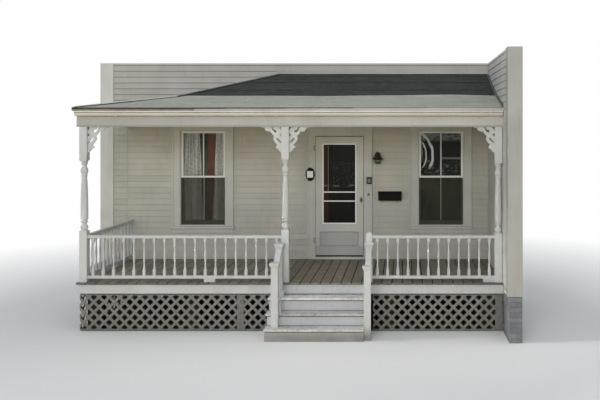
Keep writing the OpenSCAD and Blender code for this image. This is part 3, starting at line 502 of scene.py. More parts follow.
def rough_finish(name, colour, other, scale, rough, depth, metal=0.0, wear=0.0, shade=0.0,
                 shine=0.5):
    """A finish with soft patches of a second colour, a fine bump and rubbed edges."""
    made, tree, shader, place = finish(name, rough, metal, Specular_IOR_Level=shine)
    patches = noise(tree, place, scale, 7.0, 0.65)
    fine = noise(tree, place, scale * 14, 4.0, 0.6)
    mask = between(tree, reckon(tree, "ADD", patches, times(tree, fine, 0.35)), 0.5, 0.9)
    edge = group_in(tree, edge_tree, Position=place, Radius=0.003, Amount=wear)
    rubbed = tint(tree, edge["Mask"], tint(tree, mask, colour, other),
                  [min(1.0, part * 1.8) for part in colour])
    level = between(tree, tone_of(tree, place), 0.0, 1.0, 1 - shade, 1 + shade)
    feed(tree, shader, Base_Color=toned(tree, rubbed, level),
         Roughness=between(tree, patches, 0.3, 0.7, rough - 0.08, rough + 0.1))
    bump(tree, shader, fine, depth, Normal=edge["Normal"])
    return made


foundation = rough_finish("foundation", (0.14, 0.15, 0.17), (0.21, 0.222, 0.238), 5, 0.85, 0.002,
                          shade=0.18)
bare_wood = rough_finish("bare_wood", (0.25, 0.19, 0.13), (0.36, 0.29, 0.21), 9, 0.8, 0.001)
# Painted shade: the framing and piers under the deck are almost black, for the darkness there.
under_deck_shade = rough_finish("under_deck_shade", (0.012, 0.010, 0.008), (0.028, 0.024, 0.018), 9, 0.9, 0.001,
                         shine=0.1)
brown_wood = rough_finish("brown_wood", (0.15, 0.13, 0.115), (0.27, 0.24, 0.21), 6, 0.85, 0.0006,
                          shine=0.2)
door_wood = rough_finish("door_wood", (0.13, 0.045, 0.03), (0.20, 0.075, 0.05), 6, 0.6, 0.0006,
                         shine=0.1)
gray_board = rough_finish("gray_board", (0.15, 0.16, 0.17), (0.21, 0.22, 0.23), 8, 0.8, 0.0008,
                          shine=0.2)
# Dark chips in the treads' paint; the same finish gives the painted shadow under each nose and the
# painted shade at the foot of each riser.
chips_and_shade = rough_finish("chips_and_shade", (0.055, 0.05, 0.045), (0.12, 0.11, 0.10), 60, 0.9, 0.0005,
                       shine=0.1)
steel = rough_finish("steel", (0.42, 0.42, 0.42), (0.26, 0.25, 0.24), 40, 0.38, 0.0002, 1.0)
dark_metal = rough_finish("dark_metal", (0.09, 0.08, 0.07), (0.15, 0.12, 0.09), 30, 0.42, 0.0003,
                          0.85, 0.3)
black_metal = rough_finish("black_metal", (0.004, 0.004, 0.0035), (0.010, 0.0095, 0.008), 22, 0.36,
                           0.0003, 0.0, 0.3, shine=0.06)
lantern_copper = rough_finish("lantern_copper", (0.030, 0.018, 0.011), (0.055, 0.035, 0.022), 40,
                              0.5, 0.0004, 0.0, 0.4, shine=0.15)
# Dark tin for the drip edge; the same finish gives the painted shadow line under the roof's edge.
dark_tin_and_shadow = rough_finish("dark_tin_and_shadow", (0.016, 0.015, 0.014), (0.04, 0.036, 0.032), 14, 0.7, 0.0004,
                       shine=0.1)
lead_flashing = rough_finish("lead_flashing", (0.11, 0.115, 0.12), (0.20, 0.20, 0.20), 12, 0.6,
                             0.0006, 0.4, 0.3, 0.2)
black_plastic = rough_finish("black_plastic", (0.014, 0.014, 0.015), (0.03, 0.03, 0.03), 30, 0.5,
                             0.0002, 0.0, 0.3, shine=0.1)
key_gray = rough_finish("key_gray", (0.30, 0.30, 0.29), (0.36, 0.36, 0.35), 40, 0.5, 0.0001)
print("finishes", len(bpy.data.materials))

# %% [markdown]
# Clear glass is old and a little wavy. The storm door's pane looks almost black, so it is an opaque
# dark gloss with a faint pattern of what it mirrors: speckles, a thin bright line across, and the
# lit edge of the dark door behind it at the left.

# %% Glass
glass_left, glass_right, glass_low, glass_top = 3524, 4090, 650, 2048


def glass_finish(name, colour, rough, waves, **constants):
    """Glass whose slow waves bend what shows in it."""
    made, tree, shader, place = finish(name, rough, Base_Color=colour, **constants)
    bump(tree, shader, noise(tree, place, 1.6, 2.0), waves)
    return made


def thin_line(tree, value, middle):
    """1 in a narrow band round a value."""
    return put(tree, "ShaderNodeMath", {"operation": "COMPARE"}, i0=value, i1=middle,
               i2=0.011).outputs[0]


clear_glass = glass_finish("clear_glass", (0.93, 0.96, 0.94), 0.02, 0.012,
                           Transmission_Weight=1.0, IOR=1.15)
lamp_glass = glass_finish("lamp_glass", (0.92, 0.92, 0.88), 0.35, 0.002,
                          Transmission_Weight=0.75, IOR=1.45)

dim_glass, tree, shader, place = finish("dim_glass", 0.06, IOR=1.5, Specular_IOR_Level=0.1)
low, high = at(glass_left, 0, glass_low), at(glass_right, 0, glass_top)
where = axes(tree, place)
u = between(tree, where["X"], low.x, high.x)
v = between(tree, where["Z"], low.z, high.z)
speckle = between(tree, noise(tree, place, 46.0, 5.0, 0.7), 0.50, 0.68)
speckled = times(tree, speckle, between(tree, u, 0.16, 0.24), between(tree, v, 0.80, 0.76),
                 between(tree, v, 0.42, 0.46))
streaks = between(tree, noise(tree, stretched(tree, place, (7, 1, 40)), 1.0, 2.0), 0.55, 0.65)
bright = most(tree, times(tree, thin_line(tree, u, 0.145), between(tree, v, 0.40, 0.42)),
              times(tree, thin_line(tree, v, 0.475), streaks))
behind = tint(tree, between(tree, u, 0.17, 0.14), (0.004, 0.0035, 0.003), (0.030, 0.014, 0.007))
mirrored = tint(tree, speckled, behind, (0.040, 0.046, 0.026))
feed(tree, shader, Base_Color=tint(tree, bright, mirrored, (0.17, 0.15, 0.12)))
bump(tree, shader, speckle, 0.001)
print("finishes", len(bpy.data.materials))

# %% [markdown]
# The CAD nodes keep their shapes and only change their material slots. The record names a finish
# for each slot, so one table gives most nodes their paint. A second one gives some nodes a paint of
# their own, and much of it is painted light and shade: cooler whites at the front for the sky's
# light, painted shade on the beam and its trim and on the almost black wood under the deck, painted
# light on the ceiling, and both on the corner boards. The upper sashes are a newer white, the lower
# ones dark.

# %% Paint the CAD nodes
paints = {
    "foundation": foundation, "wall_paint": wall_paint, "trim_paint": trim_paint,
    "door_paint": door_paint, "gutter_paint": gutter_paint, "glass": clear_glass,
    "lamp_glass": lamp_glass, "steel": steel, "dark_metal": dark_metal, "black_metal": black_metal,
    "black_plastic": black_plastic, "bare_wood": bare_wood, "deck_paint": deck_paint,
    "tread_paint": tread_paint, "sage_roofing": sage_roofing, "dark_roofing": dark_roofing,
}
own_paint = {node: paint for paint, nodes in (
    (beam_paint, ("porch_beams", "eave_trim", "wall_flashing")),
    (front_paint, ("deck_fascia", "front_railings")),
    (step_paint, ("step_risers", "step_stringers")),
    (post_paint, ("porch_posts", "post_brackets", "stair_newels", "stair_handrails",
                  "side_railing")),
    (lattice_paint, ("lattice_front", "lattice_side")),
    (under_deck_shade, ("deck_frame", "deck_piers")),
    (sash_paint, ("upper_sashes",)), (dark_sash, ("lower_sashes",)),
    (corner_paint, ("corner_boards",)), (ceiling_paint, ("porch_ceiling",)),
    (hinge_paint, ("door_hinges",)), (dim_glass, ("storm_door_glass",)),
    (lantern_copper, ("wall_lantern",)),
) for node in nodes}

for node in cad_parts:
    slots = bpy.data.objects[node].material_slots
    names = [slot.material.name.split(".")[0] for slot in slots if slot.material]
    usual = next((paints[name] for name in names if name in paints), trim_paint)
    for slot in slots:
        slot.material = own_paint.get(node, usual)
print("painted", len(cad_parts), "nodes,", len(own_paint), "with a paint of their own")

# %% [markdown]
# New wood is cut from two kinds of blank. A board is a cube sized between two corners, with its
# edges eased by a bevel as a plane would. A moulding is a profile drawn once and extruded along its
# run. Each goes into one mesh with its neighbours, but keeps a tone of its own.

# %% Boards, mouldings and how they are joined


def blank():
    """An empty shape whose points can carry a tone."""
    shape = bmesh.new()
    shape.verts.layers.float.new("tone")
    return shape


def block(low, high):
    """A square block between two corners in millimetres."""
    shape = blank()
    a, b = at(*low), at(*high)
    bmesh.ops.create_cube(shape, size=1.0, matrix=Matrix.Translation((a + b) / 2)
                          @ Matrix.Diagonal((*(b - a), 1.0)))
    return shape


def board(low, high, ease=1.5, segments=1):
    """A block with eased edges."""
    shape = block(low, high)
    if ease:
        bmesh.ops.bevel(shape, geom=shape.edges[:], offset=ease / 1000, affect="EDGES",
                        segments=segments, profile=0.5, material=-1)
    return shape


def moulding(points, run):
    """A profile of points in millimetres, extruded along a run in millimetres."""
    shape = blank()
    face = shape.faces.new([shape.verts.new(at(*point)) for point in points])
    grown = bmesh.ops.extrude_face_region(shape, geom=[face])["geom"]
    tips = [part for part in grown if isinstance(part, bmesh.types.BMVert)]
    bmesh.ops.translate(shape, verts=tips, vec=Vector(run) / 1000)
    bmesh.ops.recalc_face_normals(shape, faces=shape.faces[:])
    return shape


def knob(centre, radius, length, axis="y", sides=16, tip=None):
    """A short rod or cone in millimetres around a centre, along an axis."""
    shape = blank()
    turn = {"y": Matrix.Rotation(math.pi / 2, 4, "X"), "z": Matrix.Identity(4)}[axis]
    bmesh.ops.create_cone(shape, cap_ends=True, segments=sides, radius1=radius / 1000,
                          radius2=(radius if tip is None else tip) / 1000, depth=length / 1000,
                          matrix=Matrix.Translation(at(*centre)) @ turn)
    return shape


def join(whole, shape, tone=None):
    """Adds a shape to a whole, with one tone over all of it."""
    layer = shape.verts.layers.float["tone"]
    value = dice.uniform(0.0, 1.0) if tone is None else tone
    for point in shape.verts:
        point[layer] = value
    spare = bpy.data.meshes.new("spare")
    shape.to_mesh(spare)
    whole.from_mesh(spare)
    bpy.data.meshes.remove(spare)
    shape.free()


def lay(whole, low, high, ease=1.5, segments=1, tone=None):
    """Cuts a board between two corners and adds it to a whole."""
    join(whole, board(low, high, ease, segments), tone)


def piece(name, whole, material, body="porch", smooth=35, replaced=()):
    """Turns a finished shape into an object that rides on a body."""
    mesh = bpy.data.meshes.new(name)
    whole.to_mesh(mesh)
    whole.free()
    mesh.materials.append(material)
    mesh.shade_smooth()
    mesh.set_sharp_from_angle(angle=math.radians(smooth))
    made = bpy.data.objects.new(name, mesh)
    bpy.context.scene.collection.objects.link(made)
    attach(made, body)
    if replaced:
        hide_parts(*replaced)
    print(name, len(mesh.polygons), "faces")
    return made


# %% [markdown]
# Clapboards are wedge-shaped boards that lap like fish scales, each one about 104 mm to the
# weather. One is a board whose top front edge is pushed back, so its lower edge stands proud and
# throws the thin shadow line that reads as siding. Long walls take several boards with butt joints.
# Over the roof they are cut by a plane through each straight part of the roof's line.

# %% Clapboards
thick_edge, thin_edge, lap, corner_wide = 15, 5, 12, 233
side_x, wall_top = span("side_wall")[0].x, span("side_wall")[1].z
left_edge = span("corner_boards")[0].x + corner_wide
ceiling = span("porch_ceiling")[0].z
door_frame = span("door_casing")
door_left, door_right, door_head = door_frame[0].x, door_frame[1].x, door_frame[1].z
window_low, window_high = (corner.z for corner in span("window_casings"))
window_middles, casing_half = (1358, 5626), 550
windows = [(x - casing_half, x + casing_half) for x in window_middles]
eave_left, eave_y, eave_z = -20, -2190, 2653
crease_x, crease_y, crease_z = 1304, 1370, eave_z + 194
hip_x, roof_top = 2736, eave_z + 654


def clapboard(wall, start, end, z, low_cut=0.0):
    """One board on the house wall or on the side wall, from start to end along it."""
    drop = dice.uniform(-1.2, 1.2)
    low, top = max(z + drop, low_cut), min(z + exposure + lap, wall_top)
    if wall == "house":
        shape = board((start, -thick_edge, low), (end, 0, top), 0)
        outward = Vector((0, -1, 0))
    else:
        shape = board((side_x - thick_edge, start, low), (side_x, end, top), 0)
        outward = Vector((-1, 0, 0))
    middle = sum((point.co for point in shape.verts), Vector()) / len(shape.verts)
    upper = [point for point in shape.verts
             if point.co.z > middle.z and (point.co - middle).dot(outward) > 0]
    bmesh.ops.translate(shape, verts=upper, vec=outward * (thin_edge - thick_edge) / 1000)
    return shape


def join_above(whole, shape, line, sideways):
    """Adds what lies above a bent line of points, unless nothing is left."""
    for first, second in zip(line, line[1:]):
        a, b = at(*first), at(*second)
        up = (b - a).cross(sideways).normalized()
        bmesh.ops.bisect_plane(shape, geom=shape.verts[:] + shape.edges[:] + shape.faces[:],
                               plane_co=a, plane_no=up if up.z > 0 else -up, clear_inner=True)
        rims = [edge for edge in shape.edges if edge.is_boundary]
        if rims:
            bmesh.ops.holes_fill(shape, edges=rims, sides=12)
    if len(shape.faces) > 3:
        join(whole, shape)
    else:
        shape.free()


def split_run(start, end, longest=3600):
    """Cuts a long run into boards at random joints."""
    cuts = [start]
    while end - cuts[-1] > longest:
        cuts.append(cuts[-1] + dice.uniform(1500, longest))
    return zip(cuts, cuts[1:] + [end])


def house_runs(z):
    """The stretches of the house wall that a row of boards covers under the porch."""
    top, clear_of = z + exposure, 40
    if top < 0:
        return [(left_edge, 0)]
    if z + clear_of >= max(window_high, door_head):
        return [(left_edge, 0), (0, side_x)]
    if z + clear_of < door_head and top - clear_of <= window_low:
        return [(left_edge, 0), (0, door_left), (door_right, side_x)]
    past_door = [(windows[0][1], door_left), (door_right, windows[1][0])]
    if z + clear_of >= door_head:
        past_door = [(windows[0][1], windows[1][0])]
    return [(left_edge, 0), (0, windows[0][0]), *past_door, (windows[1][1], side_x)]


slope_gap, hip_gap = 12, 63
slope = [(eave_left, 0, eave_z + slope_gap), (crease_x, 0, crease_z + slope_gap),
         (hip_x, 0, roof_top + slope_gap)]
clapboards = blank()
z = float(siding_low)
while z < wall_top:
    if z < ceiling:
        for start, end in house_runs(z):
            for a, b in split_run(start, end):
                if z + exposure <= wall_top:
                    low_cut = 0 if a >= 0 else siding_low
                    join(clapboards, clapboard("house", a + 1, b - 1, z, low_cut))
    else:
        for a, b in split_run(left_edge, eave_left):
            join(clapboards, clapboard("house", a + 1, b, z))
        if z + exposure > roof_top + 90 and z < wall_top - 30:
            for a, b in split_run(hip_x, side_x):
                join(clapboards, clapboard("house", a, b - 1, z, roof_top + hip_gap))
        if z + exposure > eave_z:
            for a, b in split_run(eave_left, hip_x):
                join_above(clapboards, clapboard("house", a, b - 1, z), slope, Vector((0, 1, 0)))
    z += exposure
piece("clapboards_house", clapboards, siding_paint)

side_front, deck_front, side_rear = span("side_wall")[0].y + 220, -2130, -15
slope_gap = 45
slope = [(side_x, eave_y, eave_z + slope_gap), (side_x, -crease_y, crease_z + slope_gap),
         (side_x, 0, roof_top + slope_gap)]
clapboards = blank()
z = side_low
while z < wall_top - 20:
    if z < 0:
        join(clapboards, clapboard("side", side_front, deck_front, z))
        join(clapboards, clapboard("side", deck_front, side_rear, z, 1))
    elif z < ceiling:
        for a, b in split_run(side_front, side_rear):
            join(clapboards, clapboard("side", a, b, z))
    else:
        join(clapboards, clapboard("side", side_front, eave_y, z))
        if z + exposure > eave_z:
            for a, b in split_run(eave_y, side_rear):
                join_above(clapboards, clapboard("side", a, b, z), slope, Vector((1, 0, 0)))
    z += exposure
lay(clapboards, (side_x - 26, side_front, side_low - 10), (side_x, deck_front, side_low + 2), 2)
piece("clapboards_side", clapboards, side_paint)

# %% [markdown]
# The foundation is old brickwork under gray paint. Bricks are 204 by 63 mm, laid in stretcher rows
# 72 mm apart, and stand a few millimetres proud of their mortar, which is the CAD wall behind them.
# One eased board per brick gives true joints where the light rakes across them.

# %% Foundation bricks
brick_row, brick_long, joint, shortest = 72, 213, 9, 25


def brick_wall(whole, start, end, fixed, along, low, high):
    """Lays rows of bricks on a face at x or y = fixed, facing left or front."""
    rows = round((high - low) / brick_row)
    for row in range(rows):
        z = low + row * (high - low) / rows
        place = start - (brick_long / 2 if row % 2 else 0)
        while place < end - 20:
            a, b = max(place, start), min(place + brick_long - joint, end)
            proud = dice.uniform(2.5, 5.5)
            if b - a > shortest:
                near, far = (a, fixed - proud), (b, fixed)
                if along == "y":
                    near, far = near[::-1], far[::-1]
                lay(whole, (*near, z), (*far, z + brick_row - joint), 2.2)
            place += brick_long


low, high = span("foundation_wall")
bricks = blank()
brick_wall(bricks, side_x - 4, high.x, low.y, "x", low.z, side_low)
brick_wall(bricks, low.y + 4, -2108, side_x, "y", low.z, side_low - 10)
brick_wall(bricks, low.x, -8, 0, "x", low.z, siding_low)
piece("foundation_bricks", bricks, foundation)

# %% [markdown]
# The windows are double-hung with one upright bar in each sash. A band runs round the outside of
# the flat casing and a thin bead round its inside, which gives the row of fine lines beside the
# glass. All of them are eased boards, because the real ones are square strips from a planing mill.

# %% Window bars, casing bands and sills
pane_low, pane_tall, band, casing_face, band_face = 684, 1569, 24, -32, -44
pane_top, meeting = pane_low + pane_tall, pane_low + pane_tall / 2
opening_top, casing_low, casing_top = 2298, 549, 2462
bars, bands = blank(), blank()
for x in window_middles:
    lay(bars, (x - 9, 11, meeting + 20), (x + 9, 45, pane_top), 3)
    lay(bars, (x - 9, 51, pane_low), (x + 9, 85, meeting - 20), 3)
    for side in (-1, 1):
        for far, near, front, rear, low, high, ease in (
                (casing_half, casing_half - band, band_face, casing_face, casing_low, casing_top,
                 3), (420, 406, -37, casing_face, 584, opening_top, 2),
                (406, 394, -20, 8, 616, opening_top, 2)):
            a, b = sorted((x + side * far, x + side * near))
            lay(bands, (a, front, low), (b, rear, high), ease)
    for half, front, rear, low, high, ease, segments in (
            (casing_half - band, band_face, casing_face, casing_top - band, casing_top, 3, 1),
            (420, -37, casing_face, opening_top, opening_top + 14, 2, 1),
            (394, -20, 8, opening_top - 12, opening_top, 2, 1),
            (572, -74, -62, 546, 580, 5, 2), (540, -20, 0, 470, 545, 2, 1)):
        lay(bands, (x - half, front, low), (x + half, rear, high), ease, segments)
for a, b in ((door_left, door_left + band), (door_right - band, door_right)):
    lay(bands, (a, band_face, 0), (b, casing_face, door_head), 3)
lay(bands, (door_left + band, band_face, door_head - band),
    (door_right - band, casing_face, door_head), 3)
jamb_left, jamb_right, jamb_bead, bead_face = 3376, 4239, 12, -38
for a, b in ((jamb_left - jamb_bead, jamb_left), (jamb_right, jamb_right + jamb_bead)):
    lay(bands, (a, bead_face, 0), (b, casing_face, 2200), 2)
lay(bands, (jamb_left, bead_face, 2202), (jamb_right, casing_face, 2202 + jamb_bead), 2)
piece("window_bars", bars, sash_paint)
piece("casing_bands", bands, trim_paint)

# %% [markdown]
# The lower half of each window has an insect screen, which is why that half looks darker. Its cloth
# is woven wire too fine to model, so it is a thin sheet whose material is see-through between the
# wires. The frame round it is real.

# %% Insect screens
mesh_cloth, tree, shader, place = finish("screen_cloth", 0.7, Base_Color=(0.030, 0.032, 0.016))
where = axes(tree, place)
wires = [between(tree, reckon(tree, "PINGPONG", where[axis], 0.001), 0.0001, 0.00027, 1.0, 0.05)
         for axis in ("X", "Z")]
feed(tree, shader, Alpha=most(tree, *wires))

screens, frames = blank(), blank()
half, rail, low, high = 392, 6, 622, 1450
for x in window_middles:
    lay(screens, (x - 388, 2, low), (x + 388, 3, high + 2), 0)
    for a, b, foot, head in ((-half, half, low - rail, low), (-half, half, high, high + rail + 1),
                             (-half, rail - half, low, high), (half - rail, half, low, high)):
        lay(frames, (x + a, -3, foot), (x + b, 8, head), 1)
piece("window_screens", screens, mesh_cloth)
piece("screen_frames", frames, dark_metal)

# %% [markdown]
# Lace hangs behind the glass. Gathered lace is a sheet of small upright folds, so each panel is a
# grid whose points are moved back and forth in waves that wander a little on the way down. The room
# behind it is dark, and a shallow panel at the back of each opening stands for that darkness.
# Between the left window's two curtains shows the edge of a red-brown door.

# %% Lace curtains and the dim room
lace, tree, shader, place = finish("lace", 0.9, Sheen_Weight=0.1)
threads = put(tree, "ShaderNodeTexVoronoi", Vector=place, Scale=90.0).outputs["Distance"]
flowers = noise(tree, place, 24.0, 4.0, 0.7)
holes = times(tree, between(tree, threads, 0.25, 0.5), between(tree, flowers, 0.4, 0.6))
fold_shade = noise(tree, stretched(tree, place, (15, 15, 0.5)), 1.5, 3.0)
# Painted shade and light of the folds: the lace is darker and lighter in upright bands.
feed(tree, shader, Alpha=between(tree, holes, 0.0, 1.0, 0.93, 0.55),
     Base_Color=tint(tree, between(tree, fold_shade, 0.35, 0.65), (0.48, 0.45, 0.40),
                     (0.90, 0.85, 0.78)))
bump(tree, shader, flowers, 0.001)

dim_room, tree, shader, place = finish("dim_room", 0.9)
shapes = noise(tree, stretched(tree, place, (3, 1, 1.2)), 1.3, 4.0, 0.6)
feed(tree, shader, Base_Color=tint(tree, between(tree, shapes, 0.4, 0.6),
                                   (0.026, 0.029, 0.016), (0.085, 0.092, 0.050)))
bump(tree, shader, shapes, 0.002)


def curtain(name, edges, bottom, waves, top=2290, depth=112, swing=9):
    """A gathered panel. edges gives its left and right side at the top, middle and bottom."""
    shape = blank()
    bmesh.ops.create_grid(shape, x_segments=96, y_segments=24, size=0.5)
    start = dice.uniform(0, 6)
    for point in shape.verts:
        u, v = point.co.x + 0.5, 0.5 - point.co.y
        near, far = edges[:2] if v < 0.5 else edges[1:]
        t = v * 2 if v < 0.5 else v * 2 - 1
        t = t * t * (3 - 2 * t)
        left, right = (near[side] + (far[side] - near[side]) * t for side in (0, 1))
        wave = math.sin(2 * math.pi * waves * u + start + 0.7 * math.sin(3 * v + 5 * u))
        point.co = at(left + (right - left) * u, depth + swing * wave, top + (bottom - top) * v)
    bmesh.ops.recalc_face_normals(shape, faces=shape.faces[:])
    area = sum(face.calc_area() for face in shape.faces)
    made = piece(name, shape, lace)


curtain("curtain_left_a", [(960, 1269), (962, 1300), (958, 1330)], 622, 11)
curtain("curtain_left_b", [(1560, 1762), (1535, 1760), (1500, 1762)], 622, 6)
curtain("curtain_right_a", [(5230, 5262), (5232, 5300), (5230, 5256)], 1500, 3)

rooms, door_edge = blank(), blank()
for x in window_middles:
    lay(rooms, (x - 405, 138, 615), (x + 405, 147, 2297), 0)
lay(door_edge, (1409, 128, 616), (1548, 137, 2296), 2)
piece("dim_rooms", rooms, dim_room)

# %% [markdown]
# The right window's upper pane mirrors what stands in front of the house: two pale arcs, a faint
# band and some streaks. Nothing here can be mirrored, so a painted panel behind the glass shows
# them. Each is a band round a distance or a height, and the bands are added by their strongest.

# %% The right window's upper pane
trees, tree, shader, place = finish("mirrored_trees", 0.9, Specular_IOR_Level=0.05)
middle = at(4997, 130, 1850)
shifted = put(tree, "ShaderNodeMapping", Vector=place, Location=-middle).outputs[0]
wander = times(tree, noise(tree, place, 9.0, 3.0), 0.06)
reach = reckon(tree, "ADD", on_vector(tree, "LENGTH", shifted)["Value"], wander)
where = axes(tree, shifted)
strokes = noise(tree, stretched(tree, place, (10, 1, 22)), 1.6, 6.0, 0.75)


def streak(value, middle, half):
    """A soft band round a value."""
    return between(tree, off(tree, value, middle), half, half * 0.45)


arcs = times(tree, most(tree, streak(reach, 0.515, 0.030), streak(reach, 0.403, 0.015)),
             between(tree, where["Z"], -0.26, -0.18))
band_low = times(tree, streak(where["Z"], -0.05, 0.022),
                 between(tree, where["X"], 0.60, 0.68, 0.0, 0.30))
crown = times(tree, between(tree, where["Z"], 0.24, 0.31, 0.0, 0.36),
              between(tree, strokes, 0.35, 0.6))
foot = times(tree, between(tree, strokes, 0.55, 0.63, 0.0, 0.42),
             between(tree, where["Z"], -0.03, -0.11))
feed(tree, shader, Base_Color=tint(tree, most(tree, arcs, band_low, crown, foot),
                                   (0.012, 0.012, 0.010), (0.78, 0.77, 0.74)))
bump(tree, shader, strokes, 0.001)
mirror = blank()
lay(mirror, (5228, 126, 1490), (6024, 132, 2290), 0)
piece("mirrored_trees", mirror, trees)
piece("inner_door_edge", door_edge, door_wood)

# %% [markdown]
# The storm door's glass is held by thin square beads, painted whiter than the leaf. They are on the
# door's own body, so they swing with it. The kick panel is one plain field in a thin groove, with a
# sweep of dark rubber along the bottom. A dark seal lies round the leaf.

# %% Storm door beads, kick panel and sweep
leaf_left, leaf_right, leaf_low, leaf_face = 3382, 4232, 45, -35
field = (3462, 4139, 240, 481)


def bead_frame(whole, left, right, low, high, width, proud):
    """Four square strips round an opening, outside it, on the leaf's face."""
    for a, b in (((left - width, low - width), (right + width, low)),
                 ((left - width, high), (right + width, high + width)),
                 ((left - width, low), (left, high)), ((right, low), (right + width, high))):
        lay(whole, (a[0], leaf_face - proud, a[1]), (b[0], leaf_face, b[1]), 1.5)


beads, sweep = blank(), blank()
bead_frame(beads, glass_left, glass_right, glass_low, glass_top, 22, 6)
for low, high in ((1029, 1048), (1190, 1209)):
    lay(beads, (glass_left, leaf_face - 3, low), (glass_right, leaf_face, high), 2)
lay(sweep, (leaf_left + 4, leaf_face - 4, leaf_low + 1), (leaf_right - 4, leaf_face, leaf_low + 26))
bead_paint = white_paint("bead_paint", (0.90, 0.90, 0.87), along_z, 0.05, 0.1, 0.02, 0.3)
piece("door_beads", beads, bead_paint, "door")
panel, groove, seal = blank(), blank(), blank()
lay(panel, (field[0], leaf_face - 1.2, field[2]), (field[1], leaf_face, field[3]), 0.5)
lay(panel, (leaf_left + 4, leaf_face - 0.6, 74), (leaf_right - 4, leaf_face, field[2] - 4), 0)
bead_frame(groove, *field, 7, 0.8)
lay(seal, (leaf_right + 3, leaf_face + 1, 60), (leaf_right + 11, -31, 2192), 0)
lay(seal, (leaf_left + 2, leaf_face + 1, 2193), (leaf_right + 11, -31, 2201), 0)
kick_paint = white_paint("kick_paint", (0.405, 0.41, 0.395), along_x, 0.3, 0.2, 0.02, 0.5)
groove_paint = white_paint("groove_paint", (0.27, 0.272, 0.262), along_x, 0.3, 0.1, 0.02, 0.6)
piece("kick_panel", panel, kick_paint, "door")
piece("kick_groove", groove, groove_paint, "door")
piece("door_seal", seal, black_plastic)
piece("door_sweep", sweep, black_plastic, "door")

lock, lock_x = blank(), 4196
join(lock, knob((lock_x, leaf_face - 7.5, 1031), 5, 3, "y", 20))
for z in (1011, 1105):
    join(lock, knob((lock_x, leaf_face - 7, z), 3.5, 2, "y", 12))
piece("door_lock", lock, dark_metal, "door")

# %% [markdown]
# The roof is covered in sheets of rolled felt. A sheet is a grid laid on the slope: its left side
# follows the hip and its right side the wall. Each sheet laps the one below it, so it lies a little
# higher, and its edge casts the faint line across the slope. Old felt puckers, which a slow wave
# along the sheet gives it.

# %% Roofing sheets


def on_roof(side, along, down, lift):
    """A point on the front or left slope: along 0 is the hip, 1 the wall, and down 0 the top."""
    if down <= 1:
        x, y = hip_x + (crease_x - hip_x) * down, -crease_y * down
        z = roof_top - (roof_top - crease_z) * down
    else:
        t = down - 1
        x, y = crease_x + (eave_left - crease_x) * t, -crease_y + (eave_y + crease_y) * t
        z = crease_z - (crease_z - eave_z) * t
    if side == "front":
        return at(x + (side_x - x) * along, y, z + lift)
    return at(x, y - y * along, z + lift)


def felt(whole, side, top, bottom, lift, pucker, edge_wave=None, rows=5):
    """One sheet from top to bottom on a slope. lift and edge_wave give its two edges."""
    shape = blank()
    columns = 110 if side == "front" else 50
    bmesh.ops.create_grid(shape, x_segments=columns, y_segments=rows, size=0.5)
    start = dice.uniform(0, 9)
    for point in shape.verts:
        u, v = point.co.x + 0.5, 0.5 - point.co.y
        wave = edge_wave(u) if edge_wave else (0, 0)
        down = (top + wave[0]) + (bottom + wave[1] - top - wave[0]) * v
        soft = math.sin(9 * u + start) + math.sin(23 * u + 2 * start) * 0.6
        soft += math.sin(51 * u) * 0.25
        height = lift[0] + (lift[1] - lift[0]) * v + pucker * soft * v * v
        point.co = on_roof(side, u, down, height)
    bmesh.ops.recalc_face_normals(shape, faces=shape.faces[:])
    if sum(face.normal.z for face in shape.faces) < 0:
        bmesh.ops.reverse_faces(shape, faces=shape.faces[:])
    bmesh.ops.solidify(shape, geom=shape.faces[:], thickness=0.0025)
    join(whole, shape)


def lap_wave(u):
    """How far the light lower sheet climbs over the dark one, along the front."""
    climb = 0.004 * math.sin(9 * u) + 0.003 * math.sin(23 * u + 1)
    rise = min(max((u - 0.47) / 0.38, 0), 1) * 0.045
    rise *= 1 if u < 0.85 else max(0.3, 1 - (u - 0.85) / 0.2)
    return (-climb - rise - 0.02, 0)


dark_felt, light_felt, seam_tape = blank(), blank(), blank()
for side in ("front", "left"):
    for top, bottom, lift in ((0.0, 0.40, 7), (0.38, 0.73, 5), (0.71, 1.03, 3)):
        felt(dark_felt, side, top, bottom, (lift - 2.5, lift + 0.5), 1.2)
    wave = lap_wave if side == "front" else lambda u: (-0.03, 0)
    felt(light_felt, side, 1.0, 1.52, (6.5, 5.0), 1.0, wave, rows=8)
    felt(light_felt, side, 1.5, 2.012, (2.5, 3.0), 1.0, rows=6)
    felt(seam_tape, side, 1.0, 1.0, (7.5, 7.2), 1.0,
         lambda u, wave=wave: (wave(u)[0], wave(u)[0] + 0.035), rows=1)
piece("dark_felt", dark_felt, dark_roofing, smooth=25)
piece("sage_felt", light_felt, sage_roofing, smooth=25)
piece("seam_tape", seam_tape, seam_paint, smooth=25)

# %% [markdown]
# The hip is covered by a folded metal strip: a dark roll on each side and a crest along its middle,
# pale on the lower roof and lead gray on the upper one. Where the roof meets the side wall, cards
# of sheet lead are tucked under each clapboard, one over the next.

# %% Hip rolls and wall flashing


def rod(start, end, radius, sides=10):
    """A round bar between two points in millimetres."""
    shape = blank()
    a, b = at(*start), at(*end)
    turn = (b - a).to_track_quat("Z", "Y").to_matrix().to_4x4()
    bmesh.ops.create_cone(shape, cap_ends=True, segments=sides, radius1=radius / 1000,
                          radius2=radius / 1000, depth=(b - a).length,
                          matrix=Matrix.Translation((a + b) / 2) @ turn)
    return shape


def chain(whole, points, radius, sides):
    """Round bars from point to point."""
    for a, b in zip(points, points[1:]):
        join(whole, rod(a, b, radius, sides))


